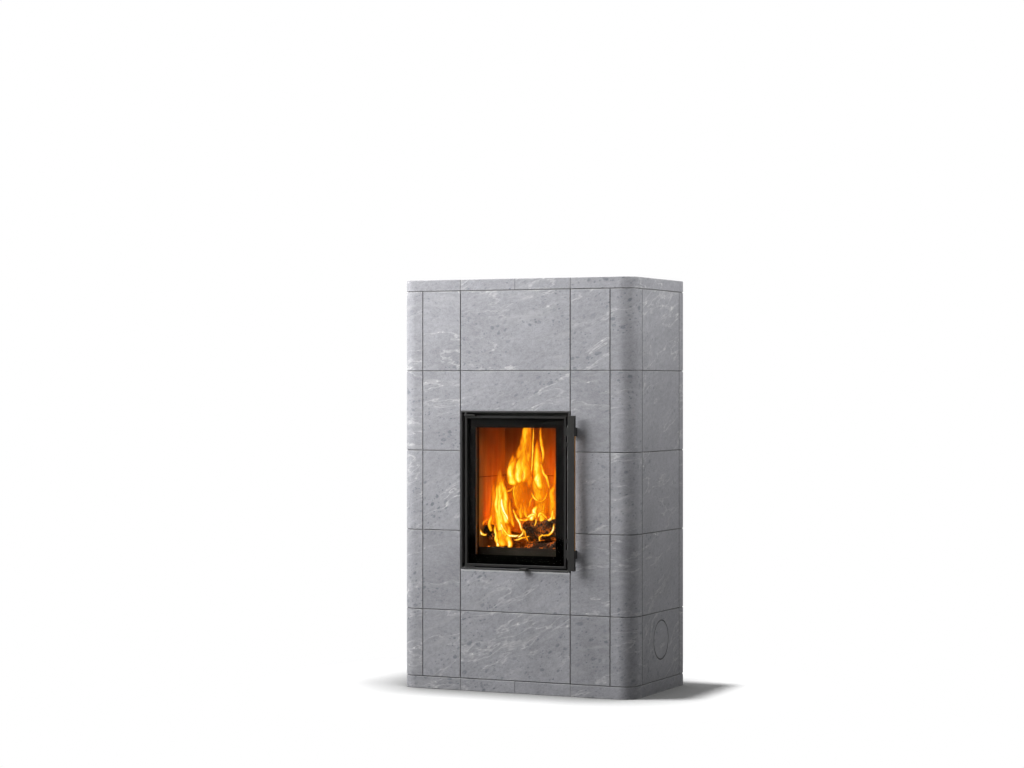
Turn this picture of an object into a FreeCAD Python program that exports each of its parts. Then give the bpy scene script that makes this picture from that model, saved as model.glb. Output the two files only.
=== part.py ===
import FreeCAD, Part
import math
import os

# A soapstone heater with a glazed firebox door, all sizes in millimetres.
# X runs to the right of the front, Y towards the back and Z upwards; the origin is on the floor,
# under the middle of the stone casing.

# Casing of facing stones
WIDTH = 800.0
DEPTH = 425.0
PLINTH_HEIGHT = 38.0
BASE_COURSE_HEIGHT = 214.0
COURSE_HEIGHT = 253.0
COURSE_COUNT = 4
CAP_HEIGHT = 36.0
SHELL_THICKNESS = 40.0
BACK_THICKNESS = 35.0
BACK_COLUMNS = 3
CORNER_LEG = 76.0
CORNER_RADIUS = 48.0
DOOR_COLUMN_WIDTH = 380.0
SILL_HEIGHT = 132.0
LINTEL_HEIGHT = 126.0
JOINT_WIDTH = 2.6
JOINT_DEPTH = 9.0
ARRIS = 0.8

# How far a cutting shape runs past the face that it cuts
OVERRUN = 1.0

# Clean-out ports low in both sides
PORT_RADIUS = 62.0
PORT_HEIGHT = 164.0
PLUG_GROOVE = 1.5
PLUG_FIT = 0.3

# Flue outlet through the back
FLUE_RADIUS = 75.5
FLUE_WALL = 3.0
FLUE_STICK_OUT = 34.0
FLUE_FIT = 0.5
FLANGE_RADIUS = 100.0
FLANGE_THICKNESS = 4.0
FLANGE_SCREW_CIRCLE = 90.0
FLANGE_SCREW_RADIUS = 3.0
FLANGE_SCREW_DEPTH = 22.0
FLANGE_SCREW_EDGE = 1.0

# Fire core
FIREBOX_WIDTH = 310.0
FIREBOX_BACK = 257.0
FIREBOX_WALL = 45.0
BACK_WALL = 50.0
LINING_COURSE = 273.0
LINING_SPLIT = 165.0
HEARTH_LIFT = 16.0
HEARTH_THICKNESS = 35.0
HEARTH_LEDGE = 30.0
ROOF_THICKNESS = 50.0
TOP_BOARD = 84.0
SMOKE_GAP = 90.0
STORAGE_THICKNESS = 55.0
REAR_BOARD = 25.0

# Grate, ash box and log guard
GRATE_LENGTH = 170.0
GRATE_WIDTH = 140.0
GRATE_LIP = 10.0
GRATE_THICKNESS = 10.0
GRATE_SLOTS = 9
GRATE_SLOT_WIDTH = 8.0
GRATE_LUG = 12.0
GRATE_EDGE = 2.0
ASH_BOX_LENGTH = 160.0
ASH_BOX_WIDTH = 130.0
ASH_BOX_HEIGHT = 90.0
ASH_BOX_WALL = 2.0
ASH_BOX_ROOM = 35.0
GUARD_SETBACK = 58.0
GUARD_HEIGHT = 68.0
GUARD_THICKNESS = 3.0
GUARD_FOOT = 11.0
GUARD_HOLES = 9
GUARD_HOLE_RADIUS = 4.0
GUARD_FIT = 1.0

# Door frame
FRAME_GAP = 0.5
FRAME_PROUD = 2.0
FRAME_WALL = 5.0
FRAME_DEPTH = 36.0
SEAL_PLATE = 5.0
THROAT_END = 57.0
THROAT_WALL = 3.0
THROAT_FIT = 0.5
METAL_EDGE = 0.8

# Door leaf and glass
LEAF_SIDE_GAP = 9.5
LEAF_TOP_GAP = 11.0
LEAF_BOTTOM_GAP = 4.5
LEAF_SETBACK = 2.0
LEAF_DEPTH = 20.0
LEAF_RIM = 7.5
LEAF_FLANGE = 26.0
LEAF_FLANGE_THICKNESS = 8.0
GLASS_THICKNESS = 4.0
GLASS_GAP = 0.3
GLASS_TAPE = 0.5
GLASS_TAPE_WIDTH = 12.0
SEAL_WIDTH = 10.0
SEAL_MARGIN = 1.0
SEAL_CLEARANCE = 0.3
SEAL_CORNER = 16.0

# Hinges
HINGE_INSET = 2.0
HINGE_SETBACK = 5.0
HINGE_PIN_RADIUS = 4.0
HINGE_PLAY = 0.05
STRAP_EYE = 7.0
STRAP_LENGTH = 34.0
STRAP_UPPER = 5.0
STRAP_LOWER = 3.5
STRAP_PLAY = 0.3

# Handle and latch
HANDLE_LENGTH = 480.0
HANDLE_WIDTH = 22.0
HANDLE_FACE = 4.0
GRIP_THICKNESS = 8.0
FINGER_GAP = 22.0
HANDLE_OFFSET = 6.5
HANDLE_EDGE = 1.0
BRACKET_INSET = 50.0
BRACKET_MARGIN = 1.5
BRACKET_PLATE = 5.0
BRACKET_BLOCK = 16.0
BRACKET_CLEARANCE = 1.0
BRACKET_NECK_LEFT = 1.5
BRACKET_NECK_RIGHT = 3.5
BRACKET_HUB = 4.0
HANDLE_SCREW_RADIUS = 2.5
HANDLE_SCREW_HEAD = 4.5
HANDLE_SCREW_HEAD_HEIGHT = 3.5
HANDLE_SCREW_PITCH = 14.0
HANDLE_SCREW_GRIP = 6.0
SHAFT_RADIUS = 2.0
SHAFT_SETBACK = 6.0
SHAFT_OVERRUN = 6.0
SHAFT_PLAY = 0.05
HUB_PLAY = 0.02
LUG_OFFSET = 150.0
LUG_HEIGHT = 14.0
LUG_DEPTH = 7.0
LUG_CLEARANCE = 1.0
CAM_OFFSET = 110.0
CAM_HEIGHT = 10.0
CAM_RADIUS = 3.1
CAM_THROW = 0.6
WEAR_PLATE = 0.7
WEAR_PLATE_SIZE = 18.0

# Air slide under the leaf
LEVER_PLACE = 36.0
LEVER_TRAVEL = 60.0
LEVER_WIDTH = 24.0
LEVER_THICKNESS = 3.0
LEVER_LIFT = 0.5
LEVER_REACH = 18.0
LEVER_LIP = 5.0
LEVER_CLEARANCE = 0.6
SLIDE_LENGTH = 250.0
SLIDE_HEIGHT = 18.0
SLIDE_FIT = 0.3
VENT_COUNT = 4
VENT_WIDTH = 30.0
VENT_HEIGHT = 8.0
VENT_PITCH = 56.0
VENT_LIFT = 6.5
GUIDE_LENGTH = 280.0
GUIDE_HEIGHT = 4.0
GUIDE_LIP = 2.0

V = FreeCAD.Vector

# Planes and levels worked out from the sizes above
FRONT = -DEPTH / 2
BACK = DEPTH / 2
SIDE = WIDTH / 2
CAVITY_FRONT = FRONT + SHELL_THICKNESS
CAVITY_BACK = BACK - BACK_THICKNESS
CAVITY_SIDE = SIDE - SHELL_THICKNESS
LEVELS = [PLINTH_HEIGHT, PLINTH_HEIGHT + BASE_COURSE_HEIGHT]
for course in range(COURSE_COUNT):
    LEVELS.append(LEVELS[-1] + COURSE_HEIGHT)
CAP_LEVEL = LEVELS[-1]
HEIGHT = CAP_LEVEL + CAP_HEIGHT
COLUMN = DOOR_COLUMN_WIDTH / 2
CORNER = SIDE - CORNER_LEG
CORNER_BACK = FRONT + CORNER_LEG
OPENING_BOTTOM = LEVELS[1] + SILL_HEIGHT
OPENING_TOP = LEVELS[-2] - LINTEL_HEIGHT
PORT_Y = (CORNER_BACK + CAVITY_BACK) / 2
FLUE_Z = (LEVELS[0] + LEVELS[1]) / 2
FLUE_OUTSIDE = FLUE_RADIUS + FLUE_WALL

FIRE_SIDE = FIREBOX_WIDTH / 2
HEARTH_LEVEL = OPENING_BOTTOM + HEARTH_LIFT
LINING_JOINT = HEARTH_LEVEL + LINING_COURSE
ROOF_LEVEL = CAP_LEVEL - TOP_BOARD - ROOF_THICKNESS
CORE_SIDE = FIRE_SIDE + FIREBOX_WALL
FIRE_BACK = FRONT + FIREBOX_BACK
CORE_BACK = FIRE_BACK + BACK_WALL
LEDGE_SIDE = FIRE_SIDE - HEARTH_LEDGE
LEDGE_BACK = FIRE_BACK - HEARTH_LEDGE
LEDGE_LEVEL = HEARTH_LEVEL - HEARTH_THICKNESS
FOUNDATION_TOP = LEDGE_LEVEL - ASH_BOX_ROOM - ASH_BOX_HEIGHT
ASH_FRONT = CAVITY_FRONT + HEARTH_LEDGE
SPLIT_Y = FRONT + LINING_SPLIT
STORAGE_SIDE = CAVITY_SIDE - STORAGE_THICKNESS
BOARD_FRONT = CAVITY_BACK - REAR_BOARD
GRATE_Y = (ASH_FRONT + FIRE_BACK) / 2

FRAME_X = COLUMN - FRAME_GAP
FRAME_Z0 = OPENING_BOTTOM + FRAME_GAP
FRAME_Z1 = OPENING_TOP - FRAME_GAP
FRAME_FRONT = FRONT - FRAME_PROUD
FRAME_BACK = FRONT + FRAME_DEPTH
PLATE_FRONT = FRAME_BACK - SEAL_PLATE
RECESS_X = FRAME_X - FRAME_WALL
RECESS_Z0 = FRAME_Z0 + FRAME_WALL
RECESS_Z1 = FRAME_Z1 - FRAME_WALL
LEAF_X = RECESS_X - LEAF_SIDE_GAP
LEAF_Z0 = RECESS_Z0 + LEAF_BOTTOM_GAP
LEAF_Z1 = RECESS_Z1 - LEAF_TOP_GAP
LEAF_MIDDLE = (LEAF_Z0 + LEAF_Z1) / 2
LEAF_FRONT = FRONT + LEAF_SETBACK
LEAF_BACK = LEAF_FRONT + LEAF_DEPTH
FLANGE_FRONT = LEAF_BACK - LEAF_FLANGE_THICKNESS
MOUTH_X = LEAF_X - LEAF_FLANGE
MOUTH_Z0 = LEAF_Z0 + LEAF_FLANGE
MOUTH_Z1 = LEAF_Z1 - LEAF_FLANGE
GLASS_X = LEAF_X - LEAF_RIM - GLASS_GAP
GLASS_Z0 = LEAF_Z0 + LEAF_RIM + GLASS_GAP
GLASS_Z1 = LEAF_Z1 - LEAF_RIM - GLASS_GAP

HINGE_X = -LEAF_X + HINGE_INSET
HINGE_Y = FRONT + HINGE_SETBACK
SHAFT_X = LEAF_X + LEAF_SIDE_GAP / 2
SHAFT_Y = FRONT + SHAFT_SETBACK
BAR_X0 = FRAME_X + HANDLE_OFFSET
BAR_X1 = BAR_X0 + HANDLE_WIDTH
BAR_BACK = FRONT - FINGER_GAP
FACE_BACK = BAR_BACK - GRIP_THICKNESS
BAR_FRONT = FACE_BACK - HANDLE_FACE
BAR_Z0 = LEAF_MIDDLE - HANDLE_LENGTH / 2
BAR_Z1 = LEAF_MIDDLE + HANDLE_LENGTH / 2
BRACKET_HEIGHT = HANDLE_SCREW_PITCH + 2 * (HANDLE_SCREW_HEAD + BRACKET_MARGIN)
BRACKET_OFFSET = HANDLE_LENGTH / 2 - BRACKET_INSET
GRIP_HALF = BRACKET_OFFSET - BRACKET_HEIGHT / 2
BRACKET_BACK = FRAME_FRONT - BRACKET_CLEARANCE
BLOCK_X = (BAR_X0 + BAR_X1) / 2

LEVER_Z = RECESS_Z0 + LEVER_LIFT
SLIDE_FRONT = FRAME_BACK + SLIDE_FIT
SLIDE_BACK = SLIDE_FRONT + LEVER_THICKNESS
SLIDE_TOP = LEVER_Z + SLIDE_HEIGHT
VENT_Z = LEVER_Z + VENT_LIFT


def block(x0, x1, y0, y1, z0, z1):
    return Part.makeBox(x1 - x0, y1 - y0, z1 - z0, V(x0, y0, z0))


def drum(radius, x, y, z, direction, length):
    return Part.makeCylinder(radius, length, V(x, y, z), V(*direction))


def extruded(edges, z0, z1):
    face = Part.Face(Part.Wire(edges))
    face.translate(V(0, 0, z0))
    return face.extrude(V(0, 0, z1 - z0))


def one(shape):
    return shape.removeSplitter().Solids[0]


def mirrored(shapes):
    return [shape.mirror(V(0, 0, 0), V(1, 0, 0)) for shape in shapes]


def edges_on(shape, axis, value):
    found = []
    for edge in shape.Edges:
        box = edge.BoundBox
        low = (box.XMin, box.YMin, box.ZMin)[axis]
        high = (box.XMax, box.YMax, box.ZMax)[axis]
        if abs(low - value) < 0.001 and abs(high - value) < 0.001:
            found.append(edge)
    return found


def eased(shape, planes, size):
    edges = []
    for axis, value in planes:
        for edge in edges_on(shape, axis, value):
            if not any(edge.isSame(other) for other in edges):
                edges.append(edge)
    return shape.makeChamfer(size, edges)


def save(node, solids):
    shape = solids[0] if len(solids) == 1 else Part.makeCompound(solids)
    shape.exportStep("parts/" + node + ".step")


def facing_stone(limits, shown, joints):
    """A block whose shown faces are set back from its neighbours by half an open joint."""
    axes = {"-x": 0, "+x": 1, "-y": 2, "+y": 3, "-z": 4, "+z": 5}
    body = list(limits)
    face = list(limits)
    planes = []
    for side in shown:
        inward = 1 if side[0] == "-" else -1
        body[axes[side]] += inward * JOINT_DEPTH
        planes.append((axes[side] // 2, limits[axes[side]]))
    for side in joints:
        inward = 1 if side[0] == "-" else -1
        face[axes[side]] += inward * JOINT_WIDTH / 2
    return one(eased(block(*face), planes, ARRIS).fuse(block(*body)))


def slab_outline(x0, x1, inset):
    """Plan of a plinth or cap slab; the two end slabs turn a rounded front corner."""
    y0 = FRONT + inset
    y1 = BACK - inset
    left_end = x0 <= -SIDE
    right_end = x1 >= SIDE
    radius = CORNER_RADIUS - inset
    a = x0 + inset if left_end else x0
    b = x1 - inset if right_end else x1
    turn = radius * (1 - math.sqrt(0.5))
    edges = [Part.makeLine(V(a, y1, 0), V(b, y1, 0))]
    if right_end:
        edges.append(Part.makeLine(V(b, y1, 0), V(b, y0 + radius, 0)))
        last = V(b - radius, y0, 0)
        edges.append(Part.Arc(V(b, y0 + radius, 0), V(b - turn, y0 + turn, 0), last).toShape())
    else:
        last = V(b, y0, 0)
        edges.append(Part.makeLine(V(b, y1, 0), last))
    first = V(a, y0 + radius, 0) if left_end else V(a, y0, 0)
    if left_end:
        edges.append(Part.makeLine(last, V(a + radius, y0, 0)))
        edges.append(Part.Arc(V(a + radius, y0, 0), V(a + turn, y0 + turn, 0), first).toShape())
    else:
        edges.append(Part.makeLine(last, first))
    edges.append(Part.makeLine(first, V(a, y1, 0)))
    return edges


def slab(x0, x1, z0, z1, jointed_top):
    """A slab with eased edges; a set-back bed keeps the joint to the course above or below open."""
    half = JOINT_WIDTH / 2
    low = z0 if jointed_top else z0 + half
    high = z1 - half if jointed_top else z1
    body = extruded(slab_outline(x0, x1, 0), low, high)
    body = body.makeChamfer(ARRIS, body.Edges)
    bed = extruded(slab_outline(x0, x1, JOINT_DEPTH), z0 + ARRIS, z1 - ARRIS)
    bed_low = high - ARRIS if jointed_top else z0
    bed_high = z1 if jointed_top else low + ARRIS
    bed_end = extruded(slab_outline(x0, x1, JOINT_DEPTH), bed_low, bed_high)
    return one(body.fuse([bed, bed_end]))


def corner_outline(inset, end):
    """Plan of a right corner stone, its outer faces moved in by inset and its ends cut by end."""
    x1 = SIDE - inset
    y0 = FRONT + inset
    radius = CORNER_RADIUS - inset
    turn = radius * (1 - math.sqrt(0.5))
    points = [
        V(x1, y0 + radius, 0),
        V(x1, CORNER_BACK - end, 0),
        V(CAVITY_SIDE, CORNER_BACK - end, 0),
        V(CAVITY_SIDE, CAVITY_FRONT, 0),
        V(CORNER + end, CAVITY_FRONT, 0),
        V(CORNER + end, y0, 0),
        V(x1 - radius, y0, 0),
    ]
    edges = [Part.makeLine(points[i], points[i + 1]) for i in range(len(points) - 1)]
    edges.append(Part.Arc(points[-1], V(x1 - turn, y0 + turn, 0), points[0]).toShape())
    return edges


def corner_stone(z0, z1):
    half = JOINT_WIDTH / 2
    face = extruded(corner_outline(0, half), z0 + half, z1 - half)
    face = eased(face, [(2, z0 + half), (2, z1 - half)], ARRIS)
    body = extruded(corner_outline(JOINT_DEPTH, 0), z0, z1)
    return one(face.fuse(body))


def ring(x, z0, z1, y0, y1, border):
    outer = block(-x, x, y0, y1, z0, z1)
    inner = block(-x + border, x - border, y0 - OVERRUN, y1 + OVERRUN, z0 + border, z1 - border)
    return outer.cut(inner)


def rounded_plate(x, z0, z1, y0, y1, radius):
    plate = block(-x, x, y0, y1, z0, z1)
    upright = [e for e in plate.Edges if e.BoundBox.YLength > (y1 - y0) / 2]
    return plate.makeFillet(radius, upright)


os.makedirs("parts", exist_ok=True)
ALL_ROUND = ["-x", "+x", "-z", "+z"]

# Plinth: four slabs on the floor, the outer two turning the front corners
save("plinth_slab_left", [slab(-SIDE, -COLUMN, 0, PLINTH_HEIGHT, True)])
save("plinth_slabs_middle", [
    slab(-COLUMN, 0, 0, PLINTH_HEIGHT, True),
    slab(0, COLUMN, 0, PLINTH_HEIGHT, True),
])
save("plinth_slab_right", [slab(COLUMN, SIDE, 0, PLINTH_HEIGHT, True)])

# Rounded corner stones, one in each course
corners = [corner_stone(LEVELS[i], LEVELS[i + 1]) for i in range(COURSE_COUNT + 1)]
save("corner_stones_right", corners)
save("corner_stones_left", mirrored(corners))

# Narrow front stones between the corners and the door column
narrow = []
for i in range(COURSE_COUNT + 1):
    limits = (COLUMN, CORNER, FRONT, CAVITY_FRONT, LEVELS[i], LEVELS[i + 1])
    narrow.append(facing_stone(limits, ["-y"], ALL_ROUND))
save("narrow_stones_right", narrow)
save("narrow_stones_left", mirrored(narrow))

# Door column: one stone in the base course, the sill, the lintel and the stone over it
column = (-COLUMN, COLUMN, FRONT, CAVITY_FRONT)
save("base_front_stone", [facing_stone(column + (LEVELS[0], LEVELS[1]), ["-y"], ALL_ROUND)])
save("sill_stone", [facing_stone(column + (LEVELS[1], OPENING_BOTTOM), ["-y"], ["-x", "+x", "-z"])])
save("lintel_stone", [facing_stone(column + (OPENING_TOP, LEVELS[-2]), ["-y"], ["-x", "+x", "+z"])])
save("top_front_stone", [facing_stone(column + (LEVELS[-2], LEVELS[-1]), ["-y"], ALL_ROUND)])

# Side stones; the lowest on each side has the round clean-out port
side_stones = []
for i in range(COURSE_COUNT + 1):
    limits = (CAVITY_SIDE, SIDE, CORNER_BACK, CAVITY_BACK, LEVELS[i], LEVELS[i + 1])
    side_stones.append(facing_stone(limits, ["+x"], ["-y", "+y", "-z", "+z"]))
port_x = CAVITY_SIDE - OVERRUN
port = drum(PORT_RADIUS, port_x, PORT_Y, PORT_HEIGHT, (1, 0, 0), SHELL_THICKNESS + 2 * OVERRUN)
port_stone = side_stones[0].cut(port)
save("clean_out_stone_right", [port_stone])
save("clean_out_stone_left", mirrored([port_stone]))
save("side_stones_right", side_stones[1:])
save("side_stones_left", mirrored(side_stones[1:]))

# Clean-out plugs: a face with an open ring round it on a closer fitting body
plug_place = (CAVITY_SIDE, PORT_Y, PORT_HEIGHT, (1, 0, 0))
plug_body = drum(PORT_RADIUS - PLUG_FIT, *plug_place, SHELL_THICKNESS - JOINT_DEPTH)
plug_face = drum(PORT_RADIUS - PLUG_GROOVE, *plug_place, SHELL_THICKNESS)
plug = one(eased(plug_face, [(0, SIDE)], ARRIS).fuse(plug_body))
save("clean_out_plug_right", [plug])
save("clean_out_plug_left", mirrored([plug]))

# Back stones in columns; the lowest middle one holds the flue collar
column_width = WIDTH / BACK_COLUMNS
flue_start = BOARD_FRONT - OVERRUN
flue_hole = drum(FLUE_OUTSIDE + FLUE_FIT, 0, flue_start, FLUE_Z, (0, 1, 0), BACK + OVERRUN - flue_start)
screw_places = []
for i in range(4):
    angle = math.radians(45 + 90 * i)
    x = FLANGE_SCREW_CIRCLE * math.cos(angle)
    screw_places.append((x, FLUE_Z + FLANGE_SCREW_CIRCLE * math.sin(angle)))
columns = []
for c in range(BACK_COLUMNS):
    x0 = -SIDE + c * column_width
    x1 = x0 + column_width
    shown = ["+y"]
    joints = ["-z", "+z"]
    (shown if c == 0 else joints).append("-x")
    (shown if c == BACK_COLUMNS - 1 else joints).append("+x")
    stones = []
    for i in range(COURSE_COUNT + 1):
        limits = (x0, x1, CAVITY_BACK, BACK, LEVELS[i], LEVELS[i + 1])
        stones.append(facing_stone(limits, shown, joints))
    columns.append(stones)
middle = columns[BACK_COLUMNS // 2]
flue_stone = middle[0].cut(flue_hole)
for x, z in screw_places:
    depth = FLANGE_SCREW_DEPTH + OVERRUN
    hole = drum(FLANGE_SCREW_RADIUS, x, BACK - FLANGE_SCREW_DEPTH, z, (0, 1, 0), depth)
    flue_stone = flue_stone.cut(hole)
save("back_flue_stone", [flue_stone])
save("back_stones_middle", middle[1:])
save("back_stones_left", columns[0])
save("back_stones_right", columns[-1])

# Flue collar with its flange on the back face, held by four screws
collar_end = BACK + FLUE_STICK_OUT
collar = drum(FLUE_OUTSIDE, 0, BOARD_FRONT, FLUE_Z, (0, 1, 0), collar_end - BOARD_FRONT)
collar = collar.fuse(drum(FLANGE_RADIUS, 0, BACK, FLUE_Z, (0, 1, 0), FLANGE_THICKNESS))
collar = collar.cut(drum(FLUE_RADIUS, 0, flue_start, FLUE_Z, (0, 1, 0), collar_end + OVERRUN - flue_start))
flange_screws = []
head_start = BACK + FLANGE_THICKNESS
head_end = head_start + FLANGE_SCREW_RADIUS
for x, z in screw_places:
    shank_start = BACK - FLANGE_SCREW_DEPTH
    shank = drum(FLANGE_SCREW_RADIUS, x, shank_start, z, (0, 1, 0), head_start - shank_start)
    head = drum(2 * FLANGE_SCREW_RADIUS, x, head_start, z, (0, 1, 0), FLANGE_SCREW_RADIUS)
    collar = collar.cut(shank)
    flange_screws.append(one(eased(head, [(1, head_end)], FLANGE_SCREW_EDGE).fuse(shank)))
save("flue_collar", [one(collar)])
save("flue_collar_screws", flange_screws)

# Core below the fire: foundation block, ash chamber walls and the hearth stones on their ledges
save("foundation_block", [
    block(-LEDGE_SIDE, LEDGE_SIDE, ASH_FRONT, LEDGE_BACK, PLINTH_HEIGHT, FOUNDATION_TOP),
])
ash_wall = block(LEDGE_SIDE, CORE_SIDE, CAVITY_FRONT, CORE_BACK, PLINTH_HEIGHT, LEDGE_LEVEL)
save("ash_chamber_walls", [
    ash_wall,
    mirrored([ash_wall])[0],
    block(-LEDGE_SIDE, LEDGE_SIDE, LEDGE_BACK, CORE_BACK, PLINTH_HEIGHT, LEDGE_LEVEL),
    block(-LEDGE_SIDE, LEDGE_SIDE, CAVITY_FRONT, ASH_FRONT, PLINTH_HEIGHT, OPENING_BOTTOM),
])
grate_x = GRATE_LENGTH / 2
grate_y0 = GRATE_Y - GRATE_WIDTH / 2
grate_y1 = GRATE_Y + GRATE_WIDTH / 2
hearth_side = block(grate_x, FIRE_SIDE, grate_y0, grate_y1, LEDGE_LEVEL, HEARTH_LEVEL)
save("hearth_stones", [
    block(-FIRE_SIDE, FIRE_SIDE, ASH_FRONT, grate_y0, LEDGE_LEVEL, HEARTH_LEVEL),
    block(-FIRE_SIDE, FIRE_SIDE, grate_y1, FIRE_BACK, LEDGE_LEVEL, HEARTH_LEVEL),
    hearth_side,
    mirrored([hearth_side])[0],
])

# Firebox lining: two courses and two columns in each side, two courses at the back
side_lining = [
    block(FIRE_SIDE, CORE_SIDE, CAVITY_FRONT, SPLIT_Y, LEDGE_LEVEL, LINING_JOINT),
    block(FIRE_SIDE, CORE_SIDE, SPLIT_Y, FIRE_BACK, LEDGE_LEVEL, LINING_JOINT),
    block(FIRE_SIDE, CORE_SIDE, CAVITY_FRONT, SPLIT_Y, LINING_JOINT, OPENING_TOP),
    block(FIRE_SIDE, CORE_SIDE, SPLIT_Y, FIRE_BACK, LINING_JOINT, ROOF_LEVEL - SMOKE_GAP),
]
save("firebox_side_stones_right", side_lining)
save("firebox_side_stones_left", mirrored(side_lining))
save("firebox_back_stones", [
    block(-CORE_SIDE, CORE_SIDE, FIRE_BACK, CORE_BACK, LEDGE_LEVEL, LINING_JOINT),
    block(-CORE_SIDE, CORE_SIDE, FIRE_BACK, CORE_BACK, LINING_JOINT, ROOF_LEVEL),
])
lintel_back = CAVITY_FRONT + FIREBOX_WALL
save("firebox_lintel", [
    block(-CORE_SIDE, CORE_SIDE, CAVITY_FRONT, lintel_back, OPENING_TOP, ROOF_LEVEL),
])

# Storage stones along the outer side of each smoke channel, parted at the clean-out port
storage = [
    block(STORAGE_SIDE, CAVITY_SIDE, CAVITY_FRONT, PORT_Y - PORT_RADIUS, LEVELS[0], LEVELS[1]),
    block(STORAGE_SIDE, CAVITY_SIDE, PORT_Y + PORT_RADIUS, CAVITY_BACK, LEVELS[0], LEVELS[1]),
]
storage_levels = [level for level in LEVELS[1:] if level < ROOF_LEVEL - ROOF_THICKNESS]
storage_levels.append(ROOF_LEVEL)
for i in range(len(storage_levels) - 1):
    low, high = storage_levels[i], storage_levels[i + 1]
    storage.append(block(STORAGE_SIDE, CAVITY_SIDE, CAVITY_FRONT, CAVITY_BACK, low, high))
save("storage_stones_right", storage)
save("storage_stones_left", mirrored(storage))

# Roof slabs over the channels, the board on them and the two boards against the back stones
roof_top = ROOF_LEVEL + ROOF_THICKNESS
save("roof_slabs", [
    block(-CAVITY_SIDE, 0, CAVITY_FRONT, CAVITY_BACK, ROOF_LEVEL, roof_top),
    block(0, CAVITY_SIDE, CAVITY_FRONT, CAVITY_BACK, ROOF_LEVEL, roof_top),
])
save("top_insulation_board", [
    block(-CAVITY_SIDE, CAVITY_SIDE, CAVITY_FRONT, CAVITY_BACK, roof_top, CAP_LEVEL),
])
lower_board = block(-STORAGE_SIDE, STORAGE_SIDE, BOARD_FRONT, CAVITY_BACK, LEVELS[0], LEVELS[2])
upper_board = block(-STORAGE_SIDE, STORAGE_SIDE, BOARD_FRONT, CAVITY_BACK, LEVELS[2], ROOF_LEVEL)
save("rear_insulation_boards", [lower_board.cut(flue_hole), upper_board])

# Cap: four slabs with the same joints as the plinth
save("cap_slab_left", [slab(-SIDE, -COLUMN, CAP_LEVEL, HEIGHT, False)])
save("cap_slabs_middle", [
    slab(-COLUMN, 0, CAP_LEVEL, HEIGHT, False),
    slab(0, COLUMN, CAP_LEVEL, HEIGHT, False),
])
save("cap_slab_right", [slab(COLUMN, SIDE, CAP_LEVEL, HEIGHT, False)])

# Grate: a slotted plate that lies on the hearth stones, with lugs that drop into the opening
lip_x = grate_x + GRATE_LIP
grate_top = HEARTH_LEVEL + GRATE_THICKNESS
grate = block(-lip_x, lip_x, grate_y0 - GRATE_LIP, grate_y1 + GRATE_LIP, HEARTH_LEVEL, grate_top)
grate = eased(grate, [(2, grate_top)], GRATE_EDGE)
slot_pitch = GRATE_LENGTH / GRATE_SLOTS
slot_y0 = grate_y0 + GRATE_LUG
slot_y1 = grate_y1 - GRATE_LUG
for i in range(GRATE_SLOTS):
    x0 = (i - (GRATE_SLOTS - 1) / 2) * slot_pitch - GRATE_SLOT_WIDTH / 2
    x1 = x0 + GRATE_SLOT_WIDTH
    grate = grate.cut(block(x0, x1, slot_y0, slot_y1, HEARTH_LEVEL - OVERRUN, grate_top + OVERRUN))
for x in (-grate_x, grate_x - GRATE_LUG):
    for y in (grate_y0, grate_y1 - GRATE_LUG):
        lug = block(x, x + GRATE_LUG, y, y + GRATE_LUG, HEARTH_LEVEL - GRATE_LUG, HEARTH_LEVEL + OVERRUN)
        grate = grate.fuse(lug)
save("grate", [one(grate)])

# Ash box: an open tray on the foundation block, small enough to lift out through the grate opening
ash_x = ASH_BOX_LENGTH / 2
ash_y0 = (ASH_FRONT + LEDGE_BACK - ASH_BOX_WIDTH) / 2
ash_y1 = ash_y0 + ASH_BOX_WIDTH
tray = block(-ash_x, ash_x, ash_y0, ash_y1, FOUNDATION_TOP, FOUNDATION_TOP + ASH_BOX_HEIGHT)
hollow = block(
    -ash_x + ASH_BOX_WALL, ash_x - ASH_BOX_WALL,
    ash_y0 + ASH_BOX_WALL, ash_y1 - ASH_BOX_WALL,
    FOUNDATION_TOP + ASH_BOX_WALL, FOUNDATION_TOP + ASH_BOX_HEIGHT + OVERRUN,
)
save("ash_box", [tray.cut(hollow)])

# Log guard: an upright plate on a folded foot, with a row of air holes near the bottom
guard_y = FRONT + GUARD_SETBACK
guard_x = FIRE_SIDE - GUARD_FIT
guard_top = OPENING_BOTTOM + GUARD_HEIGHT
foot_top = OPENING_BOTTOM + GUARD_THICKNESS
guard = block(-guard_x, guard_x, guard_y, guard_y + GUARD_THICKNESS, OPENING_BOTTOM, guard_top)
guard = guard.fuse(block(-guard_x, guard_x, guard_y, guard_y + GUARD_FOOT, OPENING_BOTTOM, foot_top))
hole_y = guard_y - OVERRUN
hole_z = VENT_Z + VENT_HEIGHT
for i in range(GUARD_HOLES):
    x = (i - (GUARD_HOLES - 1) / 2) * FIREBOX_WIDTH / (GUARD_HOLES + 1)
    guard = guard.cut(drum(GUARD_HOLE_RADIUS, x, hole_y, hole_z, (0, 1, 0), GUARD_THICKNESS + 2 * OVERRUN))
save("log_guard", [one(guard)])

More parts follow.
